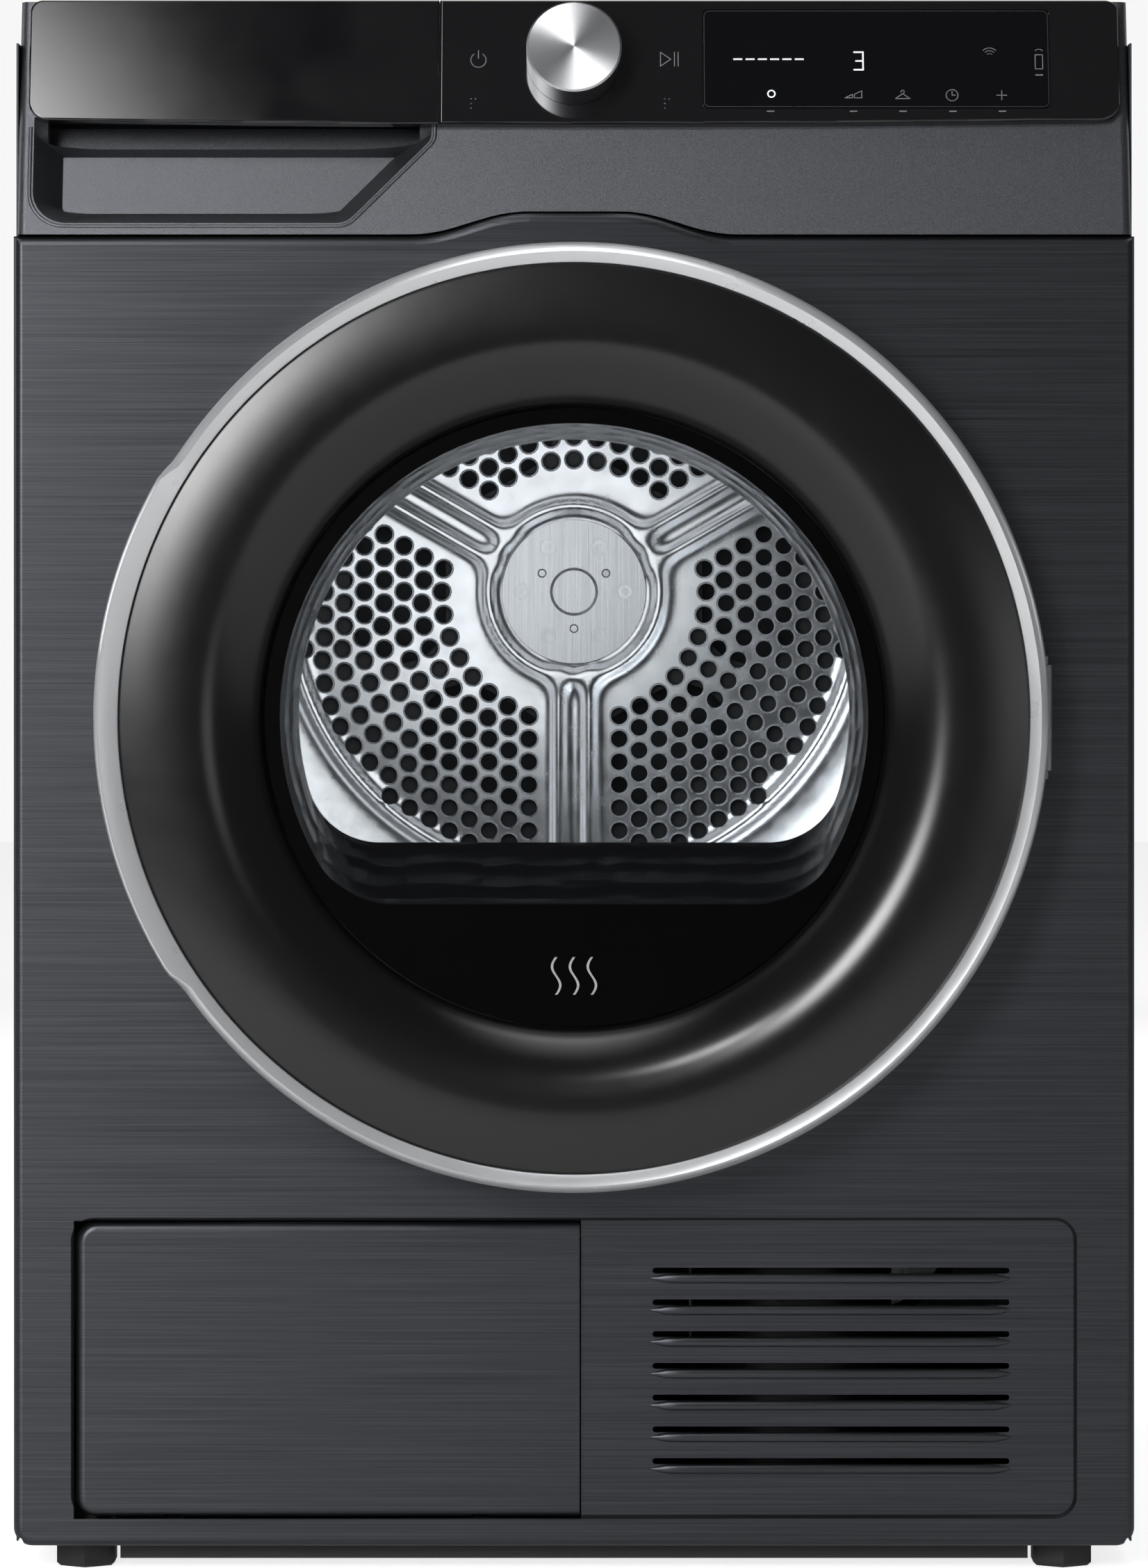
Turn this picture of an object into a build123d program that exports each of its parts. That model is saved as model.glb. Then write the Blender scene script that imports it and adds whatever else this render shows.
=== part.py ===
# Freestanding heat pump clothes dryer, built as the separate pieces it is assembled from.
# Millimetres, +Z up, front towards -Y. The origin is on the floor, under the middle of the object.
from build123d import *
from math import acos, atan2, cos, degrees, radians, sin
import os

os.makedirs("parts", exist_ok=True)

# Overall sizes
cabinet_width = 600
cabinet_depth = 600
total_height = 845
door_projection = 45

# Sheet, moulding and fit allowances
sheet = 1.0
moulding = 2.5
seam = 0.8
running = 0.05
moving_gap = 0.4

# Cabinet planes worked out from the overall sizes
rear_y = (cabinet_depth + door_projection) / 2
rear_sheet_y = rear_y - 2
front_y = rear_y - cabinet_depth
door_front_y = front_y - door_projection
half_width = cabinet_width / 2
foot_height = 13
panel_bottom = foot_height + 1
panel_return = 20
edge_radius = 5
worktop_thickness = 25
worktop_bottom = total_height - worktop_thickness
seam_z = total_height - 129
hump_rise = 12.5
hump_half_width = 88
hump_flat = 24

# Door
door_z = 458
door_radius = 253.5
ridge_radius = 247.5
ring_inner_radius = 243
door_back_y = front_y - 4
opening_radius = 200
window_radius = 165
window_y = door_front_y + 27
bowl_depth = 64
bowl_front_radius = 160
bowl_rear_radius = 152
bowl_floor_z = 358
bowl_floor_rise = 29
hinge_x = 248
hinge_y = front_y - 22.5
hinge_pin_radius = 3
latch_x = -226
latch_slot_width = 12
latch_slot_height = 30

# Drum
drum_z = 524
drum_radius = 287
drum_wall = 1.2
drum_front_y = front_y + 72.5
drum_back_y = rear_y - 47.5
hub_radius = 44.7
shaft_radius = 12.5
hole_radius = 5.2
hole_pitch = 14.3
field_radius = 172

# Console, tilted back from the seam
console_tilt = 15
cap_thickness = 6
cap_round = 1.2
cap_half_width = 293
cap_low = 61.6
cap_high = 131
drawer_seam_x = -72.4
knob_radius = 25.5
knob_height = 22
knob_up = 96.5

# Lower service area
recess_half_width = 269
recess_low = 29
recess_high = 190
recess_depth = 3
flap_left = -266.7
flap_right = 3
flap_low = 29.6
flap_high = 187.5
flap_thickness = 12
flap_round = 5
louvre_count = 7
louvre_pitch = 17
louvre_low = 59.4
louvre_left = 42
louvre_right = 233
louvre_height = 3.2

# Drive
motor_x = 170
motor_z = 150
motor_radius = 55
belt_y = 55
belt_width = 14
belt_thickness = 2.5
pulley_radius = 9
idler_radius = 14
roller_radius = 36
roller_angle = 35


def facing_front(y):
    """A sketch plane at depth y that is seen from the front: x stays x, and its second axis is z."""
    return Plane.XZ.offset(-y)


def panel_outline(grow):
    """Front panel outline with the low hump over the door, grown outwards by grow."""
    top = seam_z - seam + grow
    side = half_width + grow
    with BuildSketch() as outline:
        with BuildLine():
            Polyline((-side, top), (-side, panel_bottom - grow), (side, panel_bottom - grow), (side, top))
            Line((side, top), (hump_half_width, top))
            Spline((hump_half_width, top), (hump_flat, top + hump_rise), tangents=((-1, 0), (-1, 0)))
            Line((hump_flat, top + hump_rise), (-hump_flat, top + hump_rise))
            Spline((-hump_flat, top + hump_rise), (-hump_half_width, top), tangents=((-1, 0), (-1, 0)))
            Line((-hump_half_width, top), (-side, top))
        make_face()
    return outline.sketch


# Base: moulded tray that carries the heat pump, with the plinth strip along its front edge.
base_wall = 3
base_height = 42
base_half_width = half_width - 4
base_front = front_y + 22
base_back = rear_y - 5
foot_x = 263
foot_front = front_y + 34
foot_back = rear_y - 36
foot_places = {
    "front_left": (-foot_x, foot_front),
    "front_right": (foot_x, foot_front),
    "rear_left": (-foot_x, foot_back),
    "rear_right": (foot_x, foot_back),
}
stem_radius = 4
stem_top = foot_height + 30
pivot_x = motor_x - 50
pivot_z = motor_z - 55
arm_y = belt_y + belt_width + 3
arm_thickness = 4
with BuildPart() as base_frame:
    with BuildSketch(Plane.XY.offset(foot_height)):
        with Locations((0, (base_front + base_back) / 2)):
            Rectangle(2 * base_half_width, base_back - base_front)
    extrude(amount=base_height)
    with BuildSketch(Plane.XY.offset(foot_height + base_wall)):
        with Locations((0, (base_front + base_back) / 2)):
            Rectangle(2 * (base_half_width - base_wall), base_back - base_front - 2 * base_wall)
    extrude(amount=base_height, mode=Mode.SUBTRACT)
    with BuildSketch(facing_front(base_front - 1)):
        with Locations(((flap_left + flap_right) / 2, foot_height + base_height)):
            Rectangle(250, 60)
    extrude(amount=-base_wall - 2, mode=Mode.SUBTRACT)
    with BuildSketch(Plane.XY.offset(5)):
        with Locations((0, base_front + 2)):
            Rectangle(488, 10)
    extrude(amount=foot_height - 5)
    with BuildSketch(Plane.XY.offset(foot_height)):
        with Locations(*foot_places.values()):
            Circle(10)
    extrude(amount=stem_top + 2 - foot_height)
    with BuildSketch(Plane.XY.offset(foot_height)):
        with Locations(*foot_places.values()):
            Circle(stem_radius + running)
    extrude(amount=stem_top + 1 - foot_height, mode=Mode.SUBTRACT)
    with BuildSketch(facing_front(110)):
        with Locations((motor_x, (foot_height + motor_z) / 2)):
            Rectangle(70, motor_z - foot_height)
    extrude(amount=-80)
    with BuildSketch(facing_front(100)):
        with Locations((motor_x, motor_z)):
            Circle(motor_radius)
    extrude(amount=-110, mode=Mode.SUBTRACT)
    with BuildSketch(facing_front(arm_y + arm_thickness + 1)):
        with Locations((pivot_x, (foot_height + pivot_z + 8) / 2)):
            Rectangle(16, pivot_z + 8 - foot_height)
    extrude(amount=-8)
    with BuildSketch(facing_front(arm_y - 2)):
        with Locations((pivot_x, pivot_z)):
            Circle(4)
    extrude(amount=-(arm_thickness + 4))
base_frame.part.label = "base_frame"
export_step(base_frame.part, "parts/base_frame.step")

# Levelling feet: hexagonal pad and threaded stem, screwed fully in.
for place, (x, y) in foot_places.items():
    with BuildPart() as foot:
        with BuildSketch(Plane.XY):
            with Locations((x, y)):
                RegularPolygon(18, 6, rotation=30)
        extrude(amount=foot_height - 0.5)
        chamfer(foot.faces().sort_by(Axis.Z)[0].edges(), 2)
        with BuildSketch(Plane.XY.offset(foot_height - 0.5)):
            with Locations((x, y)):
                Circle(stem_radius)
        extrude(amount=stem_top - foot_height)
    foot.part.label = f"foot_{place}"
    export_step(foot.part, f"parts/foot_{place}.step")

# Side panels: pressed sheet with a flange turned in behind the rear panel.
side_front = front_y + panel_return + 0.3
side_back = rear_sheet_y - sheet
flange = 20
screw_x = half_width - 11
screw_heights = (60, 240, 420, 600, 790)
screw_radius = 2
for side_name, sign in (("left", -1), ("right", 1)):
    with BuildPart() as side_panel:
        with BuildSketch(Plane.XY.offset(panel_bottom)):
            with Locations((sign * (half_width - sheet / 2), (side_front + side_back) / 2)):
                Rectangle(sheet, side_back - side_front)
            with Locations((sign * (half_width - flange / 2), side_back - sheet / 2)):
                Rectangle(flange, sheet)
        extrude(amount=worktop_bottom - panel_bottom)
        with BuildSketch(facing_front(side_back)):
            with Locations(*[(sign * screw_x, z) for z in screw_heights]):
                Circle(screw_radius + 0.1)
        extrude(amount=sheet, mode=Mode.SUBTRACT)
    side_panel.part.label = f"{side_name}_side_panel"
    export_step(side_panel.part, f"parts/{side_name}_side_panel.step")

# Worktop: shallow lid, open underneath, level with the top of the console.
console_back = front_y + 72
with BuildPart() as top_panel:
    with BuildSketch(Plane.XY.offset(worktop_bottom)):
        with Locations((0, (console_back + rear_y) / 2)):
            Rectangle(cabinet_width, rear_y - console_back)
    extrude(amount=worktop_thickness)
    fillet(top_panel.edges().filter_by(Axis.Z).group_by(Axis.Y)[-1], 6)
    fillet(top_panel.faces().sort_by(Axis.Z)[-1].edges().sort_by(Axis.Y)[1:], 3)
    with BuildSketch(Plane.XY.offset(worktop_bottom)):
        with Locations((0, (console_back + rear_y) / 2)):
            Rectangle(cabinet_width - 12, rear_y - console_back - 12)
    extrude(amount=worktop_thickness - 4, mode=Mode.SUBTRACT)
    with BuildSketch(facing_front(console_back - 1)):
        with Locations((-188, worktop_bottom)):
            Rectangle(206, 36)
    extrude(amount=-9, mode=Mode.SUBTRACT)
top_panel.part.label = "top_panel"
export_step(top_panel.part, "parts/top_panel.step")

# Rear panel: sheet with vents behind the heat exchanger, and holes for the spigot, the gland and the brackets.
spigot_x = -225
spigot_z = 90
gland_x = 225
gland_z = 770
gland_radius = 9
bracket_spacing = 520
bracket_z = 700
bracket_hole = 2.5
vent_x = -98
vent_z = 70
with BuildPart() as rear_panel:
    with BuildSketch(facing_front(rear_sheet_y)):
        with Locations((0, (panel_bottom + worktop_bottom) / 2)):
            Rectangle(cabinet_width - 2, worktop_bottom - panel_bottom)
        with Locations(*[(sign * screw_x, z) for sign in (-1, 1) for z in screw_heights]):
            Circle(screw_radius + 0.1, mode=Mode.SUBTRACT)
        with Locations((spigot_x, spigot_z)):
            Circle(20, mode=Mode.SUBTRACT)
        with Locations((gland_x, gland_z)):
            Circle(gland_radius, mode=Mode.SUBTRACT)
        with Locations((-bracket_spacing / 2, bracket_z), (bracket_spacing / 2, bracket_z)):
            Circle(bracket_hole, mode=Mode.SUBTRACT)
        with Locations((vent_x, vent_z)):
            with GridLocations(24, 9, 8, 6):
                SlotOverall(18, 4, mode=Mode.SUBTRACT)
    extrude(amount=sheet)
rear_panel.part.label = "rear_panel"
export_step(rear_panel.part, "parts/rear_panel.step")

# Front panel: one pressing with rounded edges, the door opening, the lower recess and the louvres.
with BuildPart() as panel_inside:
    with BuildSketch(facing_front(front_y + sheet)):
        add(panel_outline(-sheet))
    extrude(amount=-panel_return)
    fillet(panel_inside.faces().sort_by(Axis.Y)[0].edges(), edge_radius - sheet)
with BuildPart() as front_panel:
    with BuildSketch(facing_front(front_y)):
        add(panel_outline(0))
    extrude(amount=-panel_return)
    fillet(front_panel.edges().filter_by(Axis.Y).group_by(Axis.Z)[0], 10)
    fillet(front_panel.faces().sort_by(Axis.Y)[0].edges(), edge_radius)
    add(panel_inside.part, mode=Mode.SUBTRACT)
    with BuildSketch(facing_front(front_y)):
        with Locations((0, (recess_low + recess_high) / 2)):
            RectangleRounded(2 * recess_half_width + 2, recess_high - recess_low + 2, 13)
    extrude(amount=-(recess_depth + sheet))
    with BuildSketch(facing_front(front_y)):
        with Locations((0, (recess_low + recess_high) / 2)):
            RectangleRounded(2 * recess_half_width, recess_high - recess_low, 12)
    extrude(amount=-recess_depth, taper=30, mode=Mode.SUBTRACT)
    with BuildSketch(facing_front(front_y)):
        with Locations((0, door_z)):
            Circle(opening_radius + sheet)
    extrude(amount=-15)
    with BuildSketch(facing_front(front_y - 1)):
        with Locations((0, door_z)):
            Circle(opening_radius)
        with BuildLine():
            Polyline(
                (flap_left - seam, flap_low - seam),
                (flap_right + seam, flap_low - seam),
                (flap_right + seam, flap_high + seam),
                (flap_left - seam, flap_high + seam),
                close=True,
            )
        make_face()
        louvre_length = louvre_right - louvre_left
        for row in range(louvre_count):
            with Locations(((louvre_left + louvre_right) / 2, louvre_low + row * louvre_pitch)):
                SlotOverall(louvre_length, louvre_height)
    extrude(amount=-20, mode=Mode.SUBTRACT)
    with BuildSketch(facing_front(front_y)):
        with Locations((latch_x, door_z)):
            Rectangle(latch_slot_width, latch_slot_height)
    extrude(amount=-2 * sheet, mode=Mode.SUBTRACT)
front_panel.part.label = "front_panel"
export_step(front_panel.part, "parts/front_panel.step")

# Service flap: hinged along its lower edge, with two notches for the hinge lugs.
flap_axis_y = front_y + 0.5 + flap_round
flap_axis_z = flap_low + flap_round
lug_places = (-215, -50)
lug_width = 8
lug_radius = 3.2
pin_radius = 1.5
with BuildPart() as service_flap:
    with BuildSketch(facing_front(front_y + 0.5)):
        with Locations(((flap_left + flap_right) / 2, (flap_low + flap_high) / 2)):
            Rectangle(flap_right - flap_left, flap_high - flap_low)
    extrude(amount=-flap_thickness)
    fillet(service_flap.edges().filter_by(Axis.Y).group_by(Axis.X)[0], 11)
    front_edges = service_flap.faces().sort_by(Axis.Y)[0].edges()
    fillet(front_edges.filter_by(Axis.X).sort_by(Axis.Z)[0], flap_round)
    with BuildSketch(facing_front(front_y + 0.5 + moulding)):
        with Locations(((flap_left + flap_right) / 2, (flap_low + flap_high) / 2 + 6)):
            Rectangle(flap_right - flap_left - 26, flap_high - flap_low - 32)
    extrude(amount=-flap_thickness, mode=Mode.SUBTRACT)
    with BuildSketch(Plane.XY.offset(flap_low - 1)):
        with Locations(*[(x, front_y + 0.5 + 1.4 + 10) for x in lug_places]):
            Rectangle(lug_width + 1, 20)
    extrude(amount=flap_round + 1 + lug_radius + 0.6, mode=Mode.SUBTRACT)
    with BuildSketch(Plane.YZ.offset(lug_places[0] - 12)):
        with Locations((flap_axis_y, flap_axis_z)):
            Circle(pin_radius)
    extrude(amount=24)
    with BuildSketch(Plane.YZ.offset(lug_places[1] - 12)):
        with Locations((flap_axis_y, flap_axis_z)):
            Circle(pin_radius)
    extrude(amount=24)
service_flap.part.label = "service_flap"
export_step(service_flap.part, "parts/service_flap.step")

# Heat exchanger housing: box in the base behind the flap, with the flap's two hinge lugs.
exchanger_left = -250
exchanger_right = -6
exchanger_low = foot_height + base_wall
exchanger_high = 200
exchanger_front = front_y + 36
exchanger_back = front_y + 330
lug_foot_top = flap_axis_z + 6
cover_low = 42
cover_high = 176
with BuildPart() as heat_exchanger_housing:
    with BuildSketch(facing_front(exchanger_front)):
        with Locations(((exchanger_left + exchanger_right) / 2, (exchanger_low + exchanger_high) / 2)):
            Rectangle(exchanger_right - exchanger_left, exchanger_high - exchanger_low)
    extrude(amount=-(exchanger_back - exchanger_front))
    with BuildSketch(facing_front(exchanger_front)):
        with Locations(((exchanger_left + exchanger_right) / 2, (exchanger_low + exchanger_high) / 2)):
            Rectangle(exchanger_right - exchanger_left - 5, exchanger_high - exchanger_low - 5)
    extrude(amount=-(exchanger_back - exchanger_front - moulding), mode=Mode.SUBTRACT)
    with BuildSketch(Plane.YZ.offset(lug_places[0] - lug_width / 2)):
        with Locations((flap_axis_y, flap_axis_z)):
            Circle(lug_radius)
        with Locations(((flap_axis_y + exchanger_front) / 2, flap_axis_z)):
            Rectangle(exchanger_front - flap_axis_y, 4)
        with Locations((exchanger_front + 4, (exchanger_low + lug_foot_top) / 2)):
            Rectangle(12, lug_foot_top - exchanger_low)
        with Locations((flap_axis_y, flap_axis_z)):
            Circle(pin_radius + running, mode=Mode.SUBTRACT)
    extrude(amount=lug_width)
    with BuildSketch(Plane.YZ.offset(lug_places[1] - lug_width / 2)):
        with Locations((flap_axis_y, flap_axis_z)):
            Circle(lug_radius)
        with Locations(((flap_axis_y + exchanger_front) / 2, flap_axis_z)):
            Rectangle(exchanger_front - flap_axis_y, 4)
        with Locations((exchanger_front + 4, (exchanger_low + lug_foot_top) / 2)):
            Rectangle(12, lug_foot_top - exchanger_low)
        with Locations((flap_axis_y, flap_axis_z)):
            Circle(pin_radius + running, mode=Mode.SUBTRACT)
    extrude(amount=lug_width)
heat_exchanger_housing.part.label = "heat_exchanger_housing"
export_step(heat_exchanger_housing.part, "parts/heat_exchanger_housing.step")

# Inner cover of the heat exchanger: lid plate set into the housing's mouth, with two lock bores.
cover_thickness = 10
lock_places = {"left": -205, "right": -63}
lock_z = 162
lock_boss = 7
with BuildPart() as inner_cover:
    with BuildSketch(facing_front(exchanger_front - 0.5)):
        with Locations(((exchanger_left + exchanger_right) / 2, (cover_low + cover_high) / 2 + 6)):
            RectangleRounded(exchanger_right - exchanger_left - 8, cover_high - cover_low, 8)
    extrude(amount=-cover_thickness)
    with BuildSketch(facing_front(exchanger_front - 0.5)):
        with Locations(((exchanger_left + exchanger_right) / 2, (cover_low + cover_high) / 2)):
            RectangleRounded(90, 60, 8)
    extrude(amount=-7, mode=Mode.SUBTRACT)
    with BuildSketch(facing_front(exchanger_front - 1)):
        with Locations(*[(x, lock_z) for x in lock_places.values()]):
            Circle(lock_boss)
    extrude(amount=-20, mode=Mode.SUBTRACT)
inner_cover.part.label = "inner_cover"
export_step(inner_cover.part, "parts/inner_cover.step")

# Cover locks: quarter-turn levers, each on a round spindle through the inner cover.
for side_name, x in lock_places.items():
    with BuildPart() as cover_lock:
        with BuildSketch(facing_front(exchanger_front - 1.2)):
            with Locations((x, lock_z)):
                Circle(11)
            with Locations((x, lock_z)):
                SlotOverall(34, 9)
        extrude(amount=5)
        with BuildSketch(facing_front(exchanger_front - 1.2)):
            with Locations((x, lock_z)):
                Circle(lock_boss - running)
        extrude(amount=-13)
    cover_lock.part.label = f"cover_lock_{side_name}"
    export_step(cover_lock.part, f"parts/cover_lock_{side_name}.step")

# Evaporator and condenser: fin blocks cut with air gaps, in line inside the housing.
fin_low = exchanger_low + 6
fin_high = exchanger_high - 6
for block_name, start, length in (("evaporator", 40, 100), ("condenser", 170, 110)):
    with BuildPart() as fin_block:
        with BuildSketch(facing_front(exchanger_front + start)):
            with Locations(((exchanger_left + exchanger_right) / 2, (fin_low + fin_high) / 2)):
                Rectangle(exchanger_right - exchanger_left - 12, fin_high - fin_low)
        extrude(amount=-length)
        with BuildSketch(facing_front(exchanger_front + start)):
            with Locations(((exchanger_left + exchanger_right) / 2, (fin_low + fin_high) / 2)):
                with GridLocations(8, 1, 28, 1):
                    Rectangle(5, fin_high - fin_low - 16)
        extrude(amount=-length, mode=Mode.SUBTRACT)
    fin_block.part.label = block_name
    export_step(fin_block.part, f"parts/{block_name}.step")

# Console body: hollow moulding tilted back, with the finger scoop and the tank opening.
tilt = radians(console_tilt)
console_plane = Plane(
    origin=(0, front_y, seam_z),
    x_dir=(1, 0, 0),
    z_dir=(0, -cos(tilt), sin(tilt)),
)
outward = Axis((0, 0, 0), console_plane.z_dir)
console_top = total_height - 1.5
console_half_width = half_width - 1.5
top_front_y = front_y + (console_top - seam_z) * sin(tilt) / cos(tilt)
scoop_depth = 26
floor_back = front_y + 58


def scoop_outline(grow):
    """Outline of the finger scoop on the console's face, grown outwards by grow."""
    with BuildSketch() as outline:
        with BuildLine():
            FilletPolyline(
                (-290, 66),
                (-290, 6.4),
                (-122, 6.4),
                (-76.5, 53.6),
                (-76.5, 66),
                radius=(18, 12, 8),
            )
            Line((-76.5, 66), (-290, 66))
        make_face()
        if grow:
            offset(amount=grow)
    return outline.sketch


with BuildPart() as console_body:
    with BuildSketch(Plane.YZ.offset(-console_half_width)):
        with BuildLine():
            Polyline(
                (front_y, seam_z),
                (top_front_y, console_top),
                (console_back - 0.3, console_top),
                (console_back - 0.3, seam_z),
                close=True,
            )
        make_face()
    extrude(amount=2 * console_half_width)
    front_face = console_body.faces().sort_by(Axis.Y)[0]
    fillet(front_face.edges().filter_by(Axis.X, reverse=True), edge_radius)
    with BuildSketch(Plane.YZ.offset(-console_half_width + moulding)):
        with BuildLine():
            Polyline(
                (front_y + moulding * 1.3, seam_z + moulding),
                (top_front_y + moulding, console_top - moulding),
                (console_back + 1, console_top - moulding),
                (console_back + 1, seam_z + moulding),
                close=True,
            )
        make_face()
    extrude(amount=2 * (console_half_width - moulding), mode=Mode.SUBTRACT)
    with BuildSketch(facing_front(floor_back)):
        with Locations((0, seam_z)):
            Rectangle(2 * console_half_width - 2 * moulding, 12)
    extrude(amount=-30, mode=Mode.SUBTRACT)
    with BuildSketch(console_plane):
        add(scoop_outline(moulding))
    extrude(amount=-(scoop_depth + moulding))
    with BuildSketch(console_plane):
        add(scoop_outline(0))
    extrude(amount=-scoop_depth, taper=28, mode=Mode.SUBTRACT)
    with BuildSketch(Plane.XY.offset(seam_z)):
        Rectangle(2 * cabinet_width, 2 * cabinet_depth)
    extrude(amount=-40, mode=Mode.SUBTRACT)
    with BuildSketch(console_plane):
        with Locations((-183, 62)):
            Rectangle(200, 14)
    extrude(amount=-scoop_depth, mode=Mode.SUBTRACT)
    with BuildSketch(facing_front(front_y - 2)):
        with BuildLine():
            Line((-hump_half_width, seam_z), (hump_half_width, seam_z))
            Spline((hump_half_width, seam_z), (hump_flat, seam_z + hump_rise), tangents=((-1, 0), (-1, 0)))
            Line((hump_flat, seam_z + hump_rise), (-hump_flat, seam_z + hump_rise))
            Spline((-hump_flat, seam_z + hump_rise), (-hump_half_width, seam_z), tangents=((-1, 0), (-1, 0)))
        make_face()
    extrude(amount=-70, mode=Mode.SUBTRACT)
    with BuildSketch(facing_front(front_y)):
        with Locations((-183, 812)):
            Rectangle(204, 53)
    extrude(amount=-60, mode=Mode.SUBTRACT)
    with BuildSketch(console_plane):
        with Locations((0, knob_up)):
            Circle(4)
    extrude(amount=-10, mode=Mode.SUBTRACT)
console_body.part.label = "console_body"
export_step(console_body.part, "parts/console_body.step")

# Glossy cap over the console, split at the drawer seam into the fixed part and the drawer front.
display_left = 69
display_right = 256
display_low = 69
display_high = 125.5
lens_width = display_right - display_left
lens_height = display_high - display_low
lens_depth = 1
lens_gap = 0.25
cap_bow = 2.5
seam_gap = 0.25


def cap_outline():
    """Whole cap outline on the console's face, with a gently bowed lower edge."""
    corner_low = cap_low + cap_bow / 2
    with BuildSketch() as outline:
        with BuildLine():
            ThreePointArc((-cap_half_width, corner_low), (0, cap_low - cap_bow / 2), (cap_half_width, corner_low))
            Polyline(
                (cap_half_width, corner_low),
                (cap_half_width, cap_high),
                (-cap_half_width, cap_high),
                (-cap_half_width, corner_low),
            )
        make_face()
        fillet(outline.vertices().group_by(Axis.Y)[-1], 7)
        fillet(outline.vertices().group_by(Axis.Y)[0], 11)
    return outline.sketch


with BuildPart() as console_cap:
    with BuildSketch(console_plane):
        add(cap_outline())
        with Locations(((drawer_seam_x + seam_gap - 400) / 2, cap_low)):
            Rectangle(400 + drawer_seam_x + seam_gap, 200, mode=Mode.SUBTRACT)
    extrude(amount=cap_thickness)
    fillet(console_cap.faces().sort_by(outward)[-1].edges(), cap_round)
    with BuildSketch(console_plane.offset(cap_thickness - lens_depth)):
        with Locations(((display_left + display_right) / 2, (display_low + display_high) / 2)):
            RectangleRounded(lens_width, lens_height, 3)
    extrude(amount=lens_depth + 1, mode=Mode.SUBTRACT)
    with BuildSketch(console_plane):
        with Locations((0, knob_up)):
            Circle(4)
    extrude(amount=cap_thickness + 1, mode=Mode.SUBTRACT)
console_cap.part.label = "console_cap"
export_step(console_cap.part, "parts/console_cap.step")

# Display lens, set flush into the cap.
with BuildPart() as display_window:
    with BuildSketch(console_plane.offset(cap_thickness - lens_depth)):
        with Locations(((display_left + display_right) / 2, (display_low + display_high) / 2)):
            RectangleRounded(lens_width - 2 * lens_gap, lens_height - 2 * lens_gap, 2.8)
    extrude(amount=lens_depth + 0.1)
display_window.part.label = "display_window"
export_step(display_window.part, "parts/display_window.step")

# Control board behind the cap, with the knob's encoder standing on it.
with BuildPart() as control_board:
    with BuildSketch(console_plane.offset(-22)):
        with Locations((120, 95)):
            Rectangle(300, 50)
    extrude(amount=2)
    with BuildSketch(console_plane.offset(-20)):
        with Locations((0, knob_up)):
            Rectangle(16, 16)
        with Locations((160, 96)):
            Rectangle(150, 40)
    extrude(amount=14)
    with BuildSketch(console_plane.offset(-24)):
        with Locations((0, knob_up)):
            Circle(3 + running)
    extrude(amount=20, mode=Mode.SUBTRACT)
control_board.part.label = "control_board"
export_step(control_board.part, "parts/control_board.step")

# Programme knob: chamfered cap on a round spindle that runs in the encoder.
with BuildPart() as knob:
    with BuildSketch(console_plane.offset(cap_thickness + moving_gap)):
        with Locations((0, knob_up)):
            Circle(knob_radius)
    extrude(amount=knob_height)
    chamfer(knob.faces().sort_by(outward)[-1].edges(), 1)
    with BuildSketch(console_plane.offset(-18)):
        with Locations((0, knob_up)):
            Circle(3)
    extrude(amount=18 + cap_thickness + moving_gap)
knob.part.label = "knob"
export_step(knob.part, "parts/knob.step")

# Drawer front: the cap's left part, with a neck that joins it to the water tank.
tank_left = -283
tank_low = 788
tank_high = 836
tank_front = front_y + 46
tank_length = 430
neck_right = -92
with BuildPart() as drawer_front:
    with BuildSketch(console_plane):
        add(cap_outline())
        with Locations(((drawer_seam_x - seam_gap + 400) / 2, cap_low)):
            Rectangle(400 - drawer_seam_x + seam_gap, 200, mode=Mode.SUBTRACT)
    extrude(amount=cap_thickness)
    fillet(drawer_front.faces().sort_by(outward)[-1].edges(), cap_round)
    with BuildSketch(facing_front(tank_front)):
        with Locations(((tank_left + neck_right) / 2, (tank_low + tank_high) / 2)):
            Rectangle(neck_right - tank_left, tank_high - tank_low - 4)
    extrude(amount=34)
    with BuildSketch(console_plane.offset(cap_thickness)):
        Rectangle(900, 900)
    extrude(amount=40, mode=Mode.SUBTRACT)
drawer_front.part.label = "drawer_front"
export_step(drawer_front.part, "parts/drawer_front.step")

# Water tank: closed moulding with a chamfered lower edge that clears the drum, and a spout hole.
def tank_section(grow):
    """Cross-section of the tank, seen from the front, grown outwards by grow."""
    with BuildSketch() as outline:
        with BuildLine():
            Polyline(
                (tank_left, tank_low),
                (-152, tank_low),
                (neck_right, 808),
                (neck_right, tank_high),
                (tank_left, tank_high),
                close=True,
            )
        make_face()
        if grow:
            offset(amount=grow, kind=Kind.INTERSECTION)
    return outline.sketch


with BuildPart() as water_tank:
    with BuildSketch(facing_front(tank_front)):
        add(tank_section(0))
    extrude(amount=-tank_length)
    with BuildSketch(facing_front(tank_front + 2)):
        add(tank_section(-2))
    extrude(amount=-(tank_length - 4), mode=Mode.SUBTRACT)
    with BuildSketch(Plane.XY.offset(tank_high - 4)):
        with Locations((-240, tank_front + tank_length - 30)):
            Circle(9)
    extrude(amount=10, mode=Mode.SUBTRACT)
water_tank.part.label = "water_tank"
export_step(water_tank.part, "parts/water_tank.step")

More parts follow.
